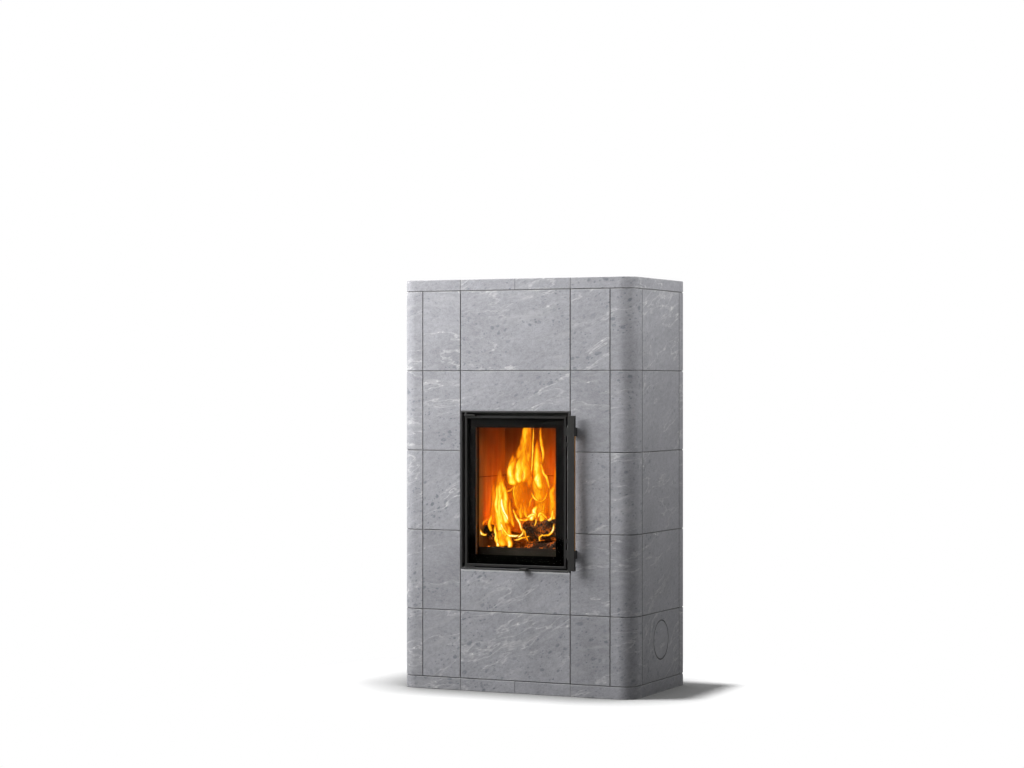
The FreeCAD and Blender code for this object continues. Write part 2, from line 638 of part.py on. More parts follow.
# Door frame: a deep surround with the sealing plate behind the leaf, its air vents and the lever slot
surround = ring(FRAME_X, FRAME_Z0, FRAME_Z1, FRAME_FRONT, FRAME_BACK, FRAME_WALL)
surround = eased(surround, [(1, FRAME_FRONT)], METAL_EDGE)
cut_y0 = PLATE_FRONT - OVERRUN
cut_y1 = SLIDE_BACK + OVERRUN
seal_plate = block(-RECESS_X, RECESS_X, PLATE_FRONT, FRAME_BACK, RECESS_Z0, RECESS_Z1)
seal_plate = seal_plate.cut(block(-MOUTH_X, MOUTH_X, cut_y0, cut_y1, MOUTH_Z0, MOUTH_Z1))
vents = []
for i in range(VENT_COUNT):
    x = (i - (VENT_COUNT - 1) / 2) * VENT_PITCH - VENT_WIDTH / 2
    vents.append(block(x, x + VENT_WIDTH, cut_y0, cut_y1, VENT_Z, VENT_Z + VENT_HEIGHT))
slot_x = LEVER_TRAVEL + LEVER_WIDTH / 2 + LEVER_CLEARANCE
slot_top = LEVER_Z + LEVER_THICKNESS + LEVER_CLEARANCE
lever_slot = block(-slot_x, slot_x, cut_y0, cut_y1, RECESS_Z0, slot_top)
seal_plate = seal_plate.cut(vents + [lever_slot])
save("door_frame", [one(surround.fuse(seal_plate))])

# Throat sleeve from the frame to the firebox lining
throat_x = FIRE_SIDE - THROAT_FIT
throat_reach = throat_x - MOUTH_X
throat_z0 = MOUTH_Z0 - throat_reach
throat_z1 = MOUTH_Z1 + throat_reach
save("throat_sleeve", [ring(throat_x, throat_z0, throat_z1, FRAME_BACK, FRONT + THROAT_END, THROAT_WALL)])

# Hinge pins welded in the top and bottom of the frame; the lower one has a bearing collar
strap_z0 = LEAF_Z0 - STRAP_LOWER
pin_end = LEAF_Z1 + STRAP_PLAY
pin_upper = drum(HINGE_PIN_RADIUS, HINGE_X, HINGE_Y, pin_end, (0, 0, 1), RECESS_Z1 - pin_end)
pin_lower = drum(HINGE_PIN_RADIUS, HINGE_X, HINGE_Y, RECESS_Z0, (0, 0, 1), LEAF_BOTTOM_GAP - STRAP_PLAY)
collar_height = LEAF_BOTTOM_GAP - STRAP_LOWER - STRAP_PLAY
pin_lower = pin_lower.fuse(drum(STRAP_EYE, HINGE_X, HINGE_Y, RECESS_Z0, (0, 0, 1), collar_height))
save("hinge_pins", [pin_upper, one(pin_lower)])

# Hinge straps welded to the top and bottom edges of the leaf
straps = []
for z, thickness in ((LEAF_Z1, STRAP_UPPER), (strap_z0, STRAP_LOWER)):
    eye = drum(STRAP_EYE, HINGE_X, HINGE_Y, z, (0, 0, 1), thickness)
    strap_end = HINGE_X + STRAP_LENGTH
    strap = eye.fuse(block(HINGE_X, strap_end, HINGE_Y - STRAP_EYE, HINGE_Y + STRAP_EYE, z, z + thickness))
    pin_hole = drum(HINGE_PIN_RADIUS + HINGE_PLAY, HINGE_X, HINGE_Y, z, (0, 0, 1), thickness)
    straps.append(one(strap.cut(pin_hole)))
save("hinge_straps", straps)

# Door leaf: a rim round the glass, a flange behind it and two lugs that carry the latch shaft
leaf = ring(LEAF_X, LEAF_Z0, LEAF_Z1, LEAF_FRONT, LEAF_BACK, LEAF_RIM)
leaf = eased(leaf, [(1, LEAF_FRONT)], METAL_EDGE)
leaf = leaf.fuse(ring(LEAF_X, LEAF_Z0, LEAF_Z1, FLANGE_FRONT, LEAF_BACK, LEAF_FLANGE))
lug_y0 = SHAFT_Y - LUG_DEPTH / 2
lug_y1 = SHAFT_Y + LUG_DEPTH / 2
for side in (-1, 1):
    z = LEAF_MIDDLE + side * LUG_OFFSET - LUG_HEIGHT / 2
    leaf = leaf.fuse(block(LEAF_X - OVERRUN, RECESS_X - LUG_CLEARANCE, lug_y0, lug_y1, z, z + LUG_HEIGHT))
leaf = leaf.cut(drum(SHAFT_RADIUS + SHAFT_PLAY, SHAFT_X, SHAFT_Y, LEAF_Z0, (0, 0, 1), LEAF_Z1 - LEAF_Z0))
save("door_leaf", [one(leaf)])

# Glass pane on a flat tape against the flange
glass_back = FLANGE_FRONT - GLASS_TAPE
glass_front = glass_back - GLASS_THICKNESS
save("door_glass", [block(-GLASS_X, GLASS_X, glass_front, glass_back, GLASS_Z0, GLASS_Z1)])
save("glass_tape", [ring(GLASS_X, GLASS_Z0, GLASS_Z1, glass_back, FLANGE_FRONT, GLASS_TAPE_WIDTH)])

# Rope seal on the back of the leaf, pressing on the sealing plate
seal_in = SEAL_MARGIN + SEAL_WIDTH
seal_back = PLATE_FRONT - SEAL_CLEARANCE
rope_outside = (MOUTH_X + seal_in, MOUTH_Z0 - seal_in, MOUTH_Z1 + seal_in)
rope_inside = (MOUTH_X + SEAL_MARGIN, MOUTH_Z0 - SEAL_MARGIN, MOUTH_Z1 + SEAL_MARGIN)
rope = rounded_plate(*rope_outside, LEAF_BACK, seal_back, SEAL_CORNER)
rope = rope.cut(rounded_plate(*rope_inside, LEAF_BACK, seal_back, SEAL_CORNER - SEAL_WIDTH))
save("rope_seal", [rope.makeFillet(SEAL_WIDTH / 4, edges_on(rope, 1, seal_back))])

# Latch shaft in the gap beside the leaf, with two cams that bear on wear plates on the frame
shaft_z0 = LEAF_MIDDLE - BRACKET_OFFSET - BRACKET_HEIGHT / 2 - SHAFT_OVERRUN
shaft_z1 = LEAF_MIDDLE + BRACKET_OFFSET + BRACKET_HEIGHT / 2 + SHAFT_OVERRUN
save("latch_shaft", [drum(SHAFT_RADIUS, SHAFT_X, SHAFT_Y, shaft_z0, (0, 0, 1), shaft_z1 - shaft_z0)])
hub_hole = drum(SHAFT_RADIUS + HUB_PLAY, SHAFT_X, SHAFT_Y, shaft_z0, (0, 0, 1), shaft_z1 - shaft_z0)
cams = []
wear_plates = []
for side in (-1, 1):
    z = LEAF_MIDDLE + side * CAM_OFFSET
    cam = drum(CAM_RADIUS, SHAFT_X + CAM_THROW, SHAFT_Y, z - CAM_HEIGHT / 2, (0, 0, 1), CAM_HEIGHT)
    cams.append(cam.cut(hub_hole))
    half = WEAR_PLATE_SIZE / 2
    plate_y0 = SHAFT_Y - half / 2
    plate_y1 = SHAFT_Y + half / 2
    wear_plates.append(block(RECESS_X - WEAR_PLATE, RECESS_X, plate_y0, plate_y1, z - half, z + half))
save("latch_cams", cams)
save("latch_wear_plates", wear_plates)

# Handle bar: a flat face with a deeper block at each end, made from one piece
bar = block(BAR_X0, BAR_X1, BAR_FRONT, BAR_BACK, BAR_Z0, BAR_Z1)
grip_z0 = LEAF_MIDDLE - GRIP_HALF
grip_z1 = LEAF_MIDDLE + GRIP_HALF
bar = bar.makeFillet(HANDLE_EDGE, edges_on(bar, 1, BAR_FRONT))
bar = bar.cut(block(BAR_X0 - OVERRUN, BAR_X1 + OVERRUN, FACE_BACK, BAR_BACK + OVERRUN, grip_z0, grip_z1))

# Handle brackets: a hub on the shaft, a neck, a plate across the frame edge and a block to the bar
plate_front = BRACKET_BACK - BRACKET_PLATE
neck_x0 = SHAFT_X - BRACKET_NECK_LEFT
block_x0 = BLOCK_X - BRACKET_BLOCK / 2
block_x1 = BLOCK_X + BRACKET_BLOCK / 2
head_back = BRACKET_BACK - HANDLE_SCREW_HEAD_HEIGHT
screw_end = BAR_BACK - HANDLE_SCREW_GRIP
brackets = []
handle_screws = []
for side in (-1, 1):
    middle_z = LEAF_MIDDLE + side * BRACKET_OFFSET
    z0 = middle_z - BRACKET_HEIGHT / 2
    z1 = middle_z + BRACKET_HEIGHT / 2
    bracket = drum(BRACKET_HUB, SHAFT_X, SHAFT_Y, z0, (0, 0, 1), BRACKET_HEIGHT)
    bracket = bracket.fuse([
        block(neck_x0, SHAFT_X + BRACKET_NECK_RIGHT, plate_front, SHAFT_Y, z0, z1),
        block(neck_x0, block_x1, plate_front, BRACKET_BACK, z0, z1),
        block(block_x0, block_x1, BAR_BACK, BRACKET_BACK, z0, z1),
    ])
    bracket = bracket.cut(hub_hole)
    for step in (-1, 1):
        z = middle_z + step * HANDLE_SCREW_PITCH / 2
        shank = drum(HANDLE_SCREW_RADIUS, BLOCK_X, screw_end, z, (0, 1, 0), head_back - screw_end)
        head = drum(HANDLE_SCREW_HEAD, BLOCK_X, head_back, z, (0, 1, 0), HANDLE_SCREW_HEAD_HEIGHT)
        screw = one(shank.fuse(head))
        bracket = bracket.cut(screw)
        bar = bar.cut(shank)
        handle_screws.append(screw)
    brackets.append(one(bracket))
save("handle_brackets", brackets)
save("handle_bar", [one(bar)])
save("handle_screws", handle_screws)

# Wooden grip let into the back of the bar between its end blocks
grip = block(BAR_X0, BAR_X1, FACE_BACK, BAR_BACK, grip_z0, grip_z1)
long_edges = [edge for edge in edges_on(grip, 1, BAR_BACK) if edge.BoundBox.ZLength > HANDLE_WIDTH]
save("handle_grip", [grip.makeFillet(2 * HANDLE_EDGE, long_edges)])

# Air slide: an upright plate with vents behind the sealing plate, and the lever through the slot
slide = block(-SLIDE_LENGTH / 2, SLIDE_LENGTH / 2, SLIDE_FRONT, SLIDE_BACK, LEVER_Z, SLIDE_TOP).cut(vents)
lever_front = FRAME_FRONT - LEVER_REACH
lever_top = LEVER_Z + LEVER_THICKNESS
nose_back = lever_front + LEVER_THICKNESS
lever = block(-LEVER_WIDTH / 2, LEVER_WIDTH / 2, lever_front, SLIDE_BACK, LEVER_Z, lever_top)
nose = block(-LEVER_WIDTH / 2, LEVER_WIDTH / 2, lever_front, nose_back, LEVER_Z - LEVER_LIP, lever_top)
lever = lever.fuse(nose).removeSplitter()
lever = lever.makeFillet(HANDLE_EDGE, edges_on(lever, 1, lever_front))
slide = one(slide.fuse(lever))
slide.translate(V(LEVER_PLACE, 0, 0))
save("air_slide", [slide])

# Guides that hold the slide against the sealing plate
guide_back = SLIDE_BACK + SLIDE_FIT
guide_x = GUIDE_LENGTH / 2
upper_low = SLIDE_TOP + SLIDE_FIT
upper_high = upper_low + GUIDE_HEIGHT
lower_high = LEVER_Z - SLIDE_FIT
guides = []
for low, high, lip_low, lip_high in (
    (upper_low, upper_high, SLIDE_TOP - GUIDE_LIP, upper_high),
    (OPENING_BOTTOM, lower_high, OPENING_BOTTOM, LEVER_Z + GUIDE_LIP),
):
    spacer = block(-guide_x, guide_x, FRAME_BACK, guide_back, low, high)
    lip = block(-guide_x, guide_x, guide_back, guide_back + GUIDE_LIP, lip_low, lip_high)
    guides.append(one(spacer.fuse(lip)))
save("air_slide_guides", guides)
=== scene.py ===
import math
import random

import bmesh
import bpy
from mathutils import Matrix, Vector, noise


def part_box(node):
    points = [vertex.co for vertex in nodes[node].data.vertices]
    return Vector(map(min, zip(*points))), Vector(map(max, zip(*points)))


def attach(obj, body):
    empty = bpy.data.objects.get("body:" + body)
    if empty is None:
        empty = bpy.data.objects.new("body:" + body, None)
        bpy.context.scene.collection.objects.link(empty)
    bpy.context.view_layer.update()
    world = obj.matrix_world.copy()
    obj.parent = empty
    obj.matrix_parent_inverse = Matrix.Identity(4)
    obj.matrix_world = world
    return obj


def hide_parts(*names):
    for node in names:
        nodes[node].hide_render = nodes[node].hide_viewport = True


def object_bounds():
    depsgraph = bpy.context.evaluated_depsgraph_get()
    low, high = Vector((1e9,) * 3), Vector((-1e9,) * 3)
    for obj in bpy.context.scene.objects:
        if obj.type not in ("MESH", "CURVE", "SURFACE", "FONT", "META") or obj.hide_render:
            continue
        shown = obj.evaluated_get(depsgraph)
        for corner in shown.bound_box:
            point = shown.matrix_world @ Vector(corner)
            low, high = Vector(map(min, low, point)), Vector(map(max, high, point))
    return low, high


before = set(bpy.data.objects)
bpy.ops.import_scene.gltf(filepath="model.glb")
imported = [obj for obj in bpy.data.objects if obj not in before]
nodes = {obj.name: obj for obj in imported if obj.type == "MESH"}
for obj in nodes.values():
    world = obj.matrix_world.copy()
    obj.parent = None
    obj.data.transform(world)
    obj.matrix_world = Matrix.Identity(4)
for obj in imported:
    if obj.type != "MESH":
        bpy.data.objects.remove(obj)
cad_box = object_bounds()
scene = bpy.context.scene

# Camera: a long lens held level at the height of the top course, turned 25 degrees to the right of the
# front, so that the front, the rounded right corner and the right side show.
camera_lens = bpy.data.cameras.new("camera")
camera_lens.sensor_width = 36
camera_lens.lens = 85.54
camera = bpy.data.objects.new("camera", camera_lens)
camera.location = (3.232, -7.120, 0.9693)
camera.rotation_euler = (math.radians(90), 0, math.radians(25.14))
scene.collection.objects.link(camera)
scene.camera = camera

# Studio: a matt white floor that runs out into white, under an even overhead light that throws the short
# shadow. A wide lamp at the front left and a weak one behind are flagged off the floor, and a small lamp
# shapes the right side.
scene.view_settings.view_transform = "Standard"
scene.cycles.transparent_max_bounces = 32


def give(tree, node, inputs):
    """Fills inputs of a shader node: a socket is linked, a plain value is written in."""
    for key, value in inputs.items():
        if isinstance(value, bpy.types.NodeSocket):
            tree.links.new(value, node.inputs[key])
        else:
            node.inputs[key].default_value = value


def put(tree, kind, inputs=None, **settings):
    """Adds a shader node with its settings and inputs."""
    node = tree.nodes.new(kind)
    for name, value in settings.items():
        setattr(node, name, value)
    give(tree, node, inputs or {})
    return node


def calc(tree, operation, *values):
    return put(tree, "ShaderNodeMath", dict(enumerate(values)), operation=operation).outputs[0]


def times(tree, first, *others):
    for other in others:
        first = calc(tree, "MULTIPLY", first, other)
    return first


def length(tree, value):
    return put(tree, "ShaderNodeVectorMath", {0: value}, operation="LENGTH").outputs["Value"]


def step(tree, value, low, high, to_low=0.0, to_high=1.0):
    """A smooth change from to_low to to_high while value goes from low to high."""
    limits = {0: value, 1: low, 2: high, 3: to_low, 4: to_high}
    return put(tree, "ShaderNodeMapRange", limits, interpolation_type="SMOOTHSTEP").outputs[0]


def mixed_shader(tree, factor, first, second):
    return put(tree, "ShaderNodeMixShader", {0: factor, 1: first.outputs[0], 2: second.outputs[0]})


def shown_directly(tree):
    """1 for rays from the camera, a reflection or a pane of glass, 0 for the light that falls on things."""
    path = put(tree, "ShaderNodeLightPath").outputs
    seen = calc(tree, "MAXIMUM", path["Is Camera Ray"], path["Is Glossy Ray"])
    seen = calc(tree, "MAXIMUM", seen, path["Is Transmission Ray"])
    return times(tree, seen, calc(tree, "LESS_THAN", path["Diffuse Depth"], 0.5))


white = (1, 1, 1, 1)
room_light = 0.12
world = bpy.data.worlds.new("studio")
world.use_nodes = True
scene.world = world
tree = world.node_tree
tree.nodes.clear()
ambient = put(tree, "ShaderNodeBackground", {"Color": white, "Strength": room_light})
backdrop = put(tree, "ShaderNodeBackground", {"Color": white, "Strength": 1.0})
sky = mixed_shader(tree, shown_directly(tree), ambient, backdrop)
put(tree, "ShaderNodeOutputWorld", {"Surface": sky.outputs[0]})


def soft_lamp(name, place, aim, size, power, spread=180):
    lamp = bpy.data.lights.new(name, "AREA")
    lamp.shape = "DISK"
    lamp.size = size
    lamp.energy = power
    lamp.spread = math.radians(spread)
    holder = bpy.data.objects.new(name, lamp)
    holder.location = place
    holder.rotation_euler = (Vector(aim) - Vector(place)).to_track_quat("-Z", "Y").to_euler()
    scene.collection.objects.link(holder)
    return holder


front_left = soft_lamp(
    "front_left_lamp", place=(-1.78, -1.50, 2.38), aim=(-0.45, -0.2, 1.48), size=2.5, power=48, spread=105
)
soft_lamp("right_lamp", place=(1.9, -0.3, 2.1), aim=(0.4, 0, 1.45), size=0.6, power=4.5, spread=78)
back = soft_lamp("back_lamp", place=(-1.0, 3.2, 1.0), aim=(0, 0.2, 0.7), size=1.2, power=26)
shadow_line = Vector((0.158, 0.078, -1.3))
overhead = bpy.data.lights.new("overhead_lamp", "SUN")
overhead.energy = 0.96 * math.pi
overhead.angle = math.radians(4)
overhead_holder = bpy.data.objects.new("overhead_lamp", overhead)
overhead_holder.rotation_euler = shadow_line.to_track_quat("-Z", "Y").to_euler()
scene.collection.objects.link(overhead_holder)

floor_radius = 12
floor_gap = 0.0005
white_from = 0.60
white_beyond = 0.95
painted_shade_reach = 0.25
painted_shade_power = 2.2
floor_tone = 0.90
floor_glow = 0.08
bpy.ops.object.select_all(action="DESELECT")
bpy.ops.mesh.primitive_circle_add(
    vertices=96, radius=floor_radius, fill_type="NGON", location=(0, 0, -floor_gap),
)
floor = bpy.context.object
floor.name = "studio_floor"
floor_paint = bpy.data.materials.new("studio_floor")
floor_paint.use_nodes = True
tree = floor_paint.node_tree
tree.nodes.clear()
shown = shown_directly(tree)
place = put(tree, "ShaderNodeTexCoord").outputs["Object"]
runs_out = step(tree, length(tree, place), white_from, white_beyond)
# painted shade: close to the plinth the floor's colour is darkened by ambient occlusion, a painted contact
# shadow
open_sky = put(tree, "ShaderNodeAmbientOcclusion", {"Distance": painted_shade_reach}, samples=8).outputs["AO"]
tone = times(tree, calc(tree, "POWER", open_sky, painted_shade_power), floor_tone)
matt = put(tree, "ShaderNodeBsdfDiffuse", {"Color": tone})
lit_from_below = put(tree, "ShaderNodeEmission", {"Color": white, "Strength": floor_glow})
paint = put(tree, "ShaderNodeAddShader", {0: matt.outputs[0], 1: lit_from_below.outputs[0]})
bounce = put(tree, "ShaderNodeBsdfDiffuse", {"Color": (0.055, 0.055, 0.055, 1)})
near = mixed_shader(tree, shown, bounce, paint)
far = put(tree, "ShaderNodeEmission", {"Color": white, "Strength": 1.0})
surface = mixed_shader(tree, times(tree, runs_out, shown), near, far)
put(tree, "ShaderNodeOutputMaterial", {"Surface": surface.outputs[0]})
floor.data.materials.append(floor_paint)
flagged_off = bpy.data.collections.new("flagged_off")
flagged_off.objects.link(floor)
flagged_off.collection_objects[0].light_linking.link_state = "EXCLUDE"
for lamp in (front_left, back):
    lamp.light_linking.receiver_collection = flagged_off

# Stone casing: honed slabs of grey soapstone, each sawn from its own place in the quarry, so every stone has
# its own tone, pale talc veins and dark flakes. The veins rise to the right on the front and more steeply on
# the sides. The stones stand on thin beds whose outer edge is left open.
base_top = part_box("base_front_stone")[1].z
cap_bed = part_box("cap_slab_left")[0].z
course_height = (cap_bed - base_top) / 4
bed_levels = [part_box("plinth_slab_left")[1].z] + [base_top + i * course_height for i in range(5)]


def new_group(name, inputs, outputs):
    group = bpy.data.node_groups.new(name, "ShaderNodeTree")
    for direction, sockets in (("INPUT", inputs), ("OUTPUT", outputs)):
        for label, kind in sockets.items():
            group.interface.new_socket(name=label, in_out=direction, socket_type="NodeSocket" + kind)
    given = group.nodes.new("NodeGroupInput").outputs
    result = group.nodes.new("NodeGroupOutput").inputs
    return group, given, result


def vector(tree, operation, *values):
    return put(tree, "ShaderNodeVectorMath", dict(enumerate(values)), operation=operation).outputs[0]


def scaled(tree, place, factors):
    return vector(tree, "MULTIPLY", place, factors)


def xyz(tree, place):
    return put(tree, "ShaderNodeSeparateXYZ", {0: place}).outputs


def linear(tree, value, slope, base):
    return calc(tree, "MULTIPLY_ADD", value, slope, base)


def apart(tree, first, second):
    """How far two values lie from each other."""
    return calc(tree, "ABSOLUTE", calc(tree, "SUBTRACT", first, second))


def cloud(tree, place, scale, detail=3.0, roughness=0.55, distortion=0.0):
    """Plain fractal noise between 0 and 1; scale is one number, or one for each direction."""
    if isinstance(scale, tuple):
        place = scaled(tree, place, scale)
        scale = 1.0
    sizes = {"Vector": place, "Scale": scale, "Detail": detail, "Roughness": roughness}
    return put(tree, "ShaderNodeTexNoise", {**sizes, "Distortion": distortion}).outputs[0]


def mixed(tree, factor, first, second, mode="MIX"):
    colours = {0: factor, 6: first, 7: second}
    return put(tree, "ShaderNodeMix", colours, data_type="RGBA", blend_type=mode).outputs[2]


def grey(value, tint=(1, 1, 1)):
    return (value * tint[0], value * tint[1], value * tint[2], 1)


# Soapstone figure, shared by every stone: where the point lies decides which stone it belongs to, and the
# stone's number moves and tilts the pattern.
figure, given, result = new_group(
    "soapstone_figure",
    {
        "Place": "Vector", "Seed": "Float", "Split": "Float", "Axis": "Vector", "Dip": "Float",
        "Veins": "Float", "Fibre": "Float",
    },
    {"Color": "Color", "Roughness": "Float", "Height": "Float", "Bed": "Float"},
)
tree = figure
where = xyz(tree, given["Place"])
stone_number = times(tree, given["Seed"], 17.3)
bed = 1.0
for level in bed_levels:
    stone_number = calc(tree, "ADD", stone_number, calc(tree, "GREATER_THAN", where[2], level))
    bed = calc(tree, "MINIMUM", bed, apart(tree, where[2], level))
right_half = times(tree, calc(tree, "GREATER_THAN", where[0], 0.0), given["Split"])
stone_number = linear(tree, right_half, 7.7, stone_number)
draw = put(tree, "ShaderNodeTexWhiteNoise", {"W": stone_number}, noise_dimensions="1D").outputs
tilt = linear(tree, calc(tree, "SUBTRACT", draw["Value"], 0.5), 0.50, given["Dip"])
turn = {"Vector": given["Place"], "Axis": given["Axis"], "Angle": tilt}
turned = put(tree, "ShaderNodeVectorRotate", turn).outputs[0]
moved = vector(tree, "MULTIPLY_ADD", draw["Color"], (23, 31, 27), turned)
waviness = put(tree, "ShaderNodeTexNoise", {"Vector": moved, "Scale": 5.0, "Detail": 2.0}).outputs[1]
wave = vector(tree, "SUBTRACT", waviness, (0.5, 0.5, 0.5))
bent = vector(tree, "MULTIPLY_ADD", wave, (0.07, 0.07, 0.07), moved)

# pale veins: thin crinkled lines that come and go, with brighter knots of talc along them
vein_field = cloud(tree, bent, (2.0, 2.0, 9.0), 6.0, 0.57)
vein_line = step(tree, apart(tree, vein_field, 0.5), 0.0, 0.0135, 1.0, 0.0)
vein_band = cloud(tree, bent, (2.4, 2.4, 5.5), 3.0)
vein_band = step(tree, calc(tree, "ADD", vein_band, given["Veins"]), 0.40, 0.58)
wisp = step(tree, cloud(tree, bent, (38, 38, 80), 4.0, 0.62), 0.36, 0.68)
fibre = step(tree, cloud(tree, bent, (6, 6, 54), 5.0, 0.62), 0.48, 0.78)
fleck = step(tree, cloud(tree, bent, (55, 55, 90), 3.0, 0.6), 0.60, 0.70)
vein = times(tree, vein_line, vein_band, linear(tree, wisp, 0.70, 0.30))
streak = times(tree, fibre, linear(tree, vein_band, 0.32, 0.11), given["Fibre"])
talc = times(tree, fleck, vein_band, linear(tree, vein_line, 0.8, 0.07))

# dark flakes: broad soft ones in loose swarms and small ones everywhere, a little drawn out along the veins
swarm = step(tree, cloud(tree, moved, (4.5, 4.5, 7.5), 2.0), 0.44, 0.62)
flake = 0.0
for cells, reach_low, blur, alone in ((38, -0.10, 0.09, 0.14), (85, -0.10, 0.12, 0.40)):
    spots = scaled(tree, bent, (cells, cells, 1.5 * cells))
    flakes = put(tree, "ShaderNodeTexVoronoi", {"Vector": spots, "Scale": 1.0}).outputs
    flake_size = put(tree, "ShaderNodeSeparateColor", {0: flakes["Color"]}).outputs
    reach = linear(tree, flake_size[0], 0.46, reach_low)
    spot = step(tree, calc(tree, "SUBTRACT", flakes["Distance"], reach), -blur, blur, 1.0, 0.0)
    spot = times(tree, spot, linear(tree, swarm, 1 - alone, alone))
    flake = calc(tree, "MAXIMUM", flake, spot)
flake = times(tree, flake, step(tree, cloud(tree, moved, 90.0, 3.0, 0.65), 0.22, 0.62, 0.25, 1.0))
dust = step(tree, cloud(tree, moved, (190, 190, 260), 3.0, 0.6), 0.56, 0.72)

# ground: cloudy grey with a fine grain drawn out along the veins
tone = linear(tree, draw["Value"], 0.10, 0.95)
drift = step(tree, cloud(tree, bent, (4, 4, 7), 4.0, 0.6), 0.25, 0.75, 0.90, 1.09)
grain = step(tree, cloud(tree, moved, (260, 260, 420), 3.0, 0.7), 0.25, 0.75, 0.88, 1.12)
mottle = step(tree, cloud(tree, bent, (60, 60, 105), 5.0, 0.72), 0.25, 0.75, 0.86, 1.14)
shade = times(tree, tone, drift, grain, mottle)
stone_grey = (0.374, 0.374, 0.402)
ground = put(tree, "ShaderNodeVectorMath", {0: stone_grey, 3: shade}, operation="SCALE").outputs[0]
stone = mixed(tree, times(tree, dust, 0.16), ground, grey(0.17, (0.94, 0.99, 1.10)))
stone = mixed(tree, times(tree, flake, 0.70), stone, grey(0.165, (0.86, 1.0, 1.12)))
stone = mixed(tree, streak, stone, grey(0.60))
stone = mixed(tree, times(tree, vein, 0.75), stone, grey(0.70))
stone = mixed(tree, talc, stone, grey(0.84, (1, 1, 0.98)))
tree.links.new(stone, result["Color"])
gloss = linear(tree, grain, 0.35, 0.24)
tree.links.new(linear(tree, vein, 0.10, gloss), result["Roughness"])
hollows = linear(tree, flake, -0.5, grain)
tree.links.new(linear(tree, vein, 0.25, hollows), result["Height"])
tree.links.new(bed, result["Bed"])

# Worn edges, shared by stone and metal: sharp edges are rubbed by handling, in patches and not all along. A
# point close to two of the piece's outer planes lies on an edge.
edge_wear, given, result = new_group(
    "edge_wear",
    {"Place": "Vector", "Low": "Vector", "High": "Vector", "Bed": "Float", "Width": "Float"},
    {"Wear": "Float"},
)
tree = edge_wear
closeness = step(tree, calc(tree, "DIVIDE", given["Bed"], given["Width"]), 0.4, 1.0, 1.0, 0.0)
for limit in ("Low", "High"):
    gap = vector(tree, "ABSOLUTE", vector(tree, "SUBTRACT", given["Place"], given[limit]))
    for axis_gap in xyz(tree, gap):
        near = step(tree, calc(tree, "DIVIDE", axis_gap, given["Width"]), 0.4, 1.0, 1.0, 0.0)
        closeness = calc(tree, "ADD", closeness, near)
edge = put(tree, "ShaderNodeMath", {0: closeness, 1: 1.0}, operation="SUBTRACT", use_clamp=True).outputs[0]
rub = step(tree, cloud(tree, given["Place"], 70.0, 4.0, 0.65), 0.34, 0.70)
tree.links.new(times(tree, edge, rub), result["Wear"])


def new_finish(name):
    """An empty material with its Principled shader and its Object coordinates."""
    finish = bpy.data.materials.new(name)
    finish.use_nodes = True
    tree = finish.node_tree
    tree.nodes.clear()
    shader = put(tree, "ShaderNodeBsdfPrincipled")
    put(tree, "ShaderNodeOutputMaterial", {"Surface": shader.outputs[0]})
    return finish, tree, shader, put(tree, "ShaderNodeTexCoord").outputs["Object"]


def dress(node, finish):
    for slot in nodes[node].material_slots:
        slot.material = finish


def relief(tree, shader, height, strength, depth):
    bump = put(tree, "ShaderNodeBump", {"Strength": strength, "Distance": depth, "Height": height})
    give(tree, shader, {"Normal": bump.outputs[0]})


def edge_mask(tree, place, node, width, bed=1.0):
    low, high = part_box(node)
    limits = {"Place": place, "Low": low, "High": high, "Bed": bed, "Width": width}
    return put(tree, "ShaderNodeGroup", limits, node_tree=edge_wear).outputs["Wear"]


def joint_painted_shade(tree, place, node, split):
    """Painted shade in the joints of a stone, along those of its box planes that aren't faces of the casing,
    and round a clean-out plug.
    """
    painted_joint_shade = 0.0
    where = xyz(tree, place)
    handle_reach = 0.04
    for axis, amount in ((0, 0.30), (1, 0.90)):
        planes = [0.0] if split and axis == 0 else []
        for own, outer in zip(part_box(node), cad_box):
            if abs(own[axis] - outer[axis]) > handle_reach:
                planes.append(own[axis])
        for plane in planes:
            line = step(tree, apart(tree, where[axis], plane), 0.0014, 0.0022, amount, 0.0)
            painted_joint_shade = calc(tree, "MAXIMUM", painted_joint_shade, line)
    if "clean_out" in node:
        low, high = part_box(node.replace("stone", "plug"))
        groove_radius = (high.z - low.z) / 2 - 0.0004
        from_axis = scaled(tree, vector(tree, "SUBTRACT", place, (low + high) / 2), (0, 1, 1))
        ring = step(tree, apart(tree, length(tree, from_axis), groove_radius), 0.0014, 0.0034, 0.90, 0.0)
        inward = calc(tree, "SUBTRACT", cad_box[1].x, calc(tree, "ABSOLUTE", where[0]))
        ring = times(tree, ring, step(tree, inward, 0.008, 0.012, 1.0, 0.35))
        painted_joint_shade = calc(tree, "MAXIMUM", painted_joint_shade, ring)
    return painted_joint_shade


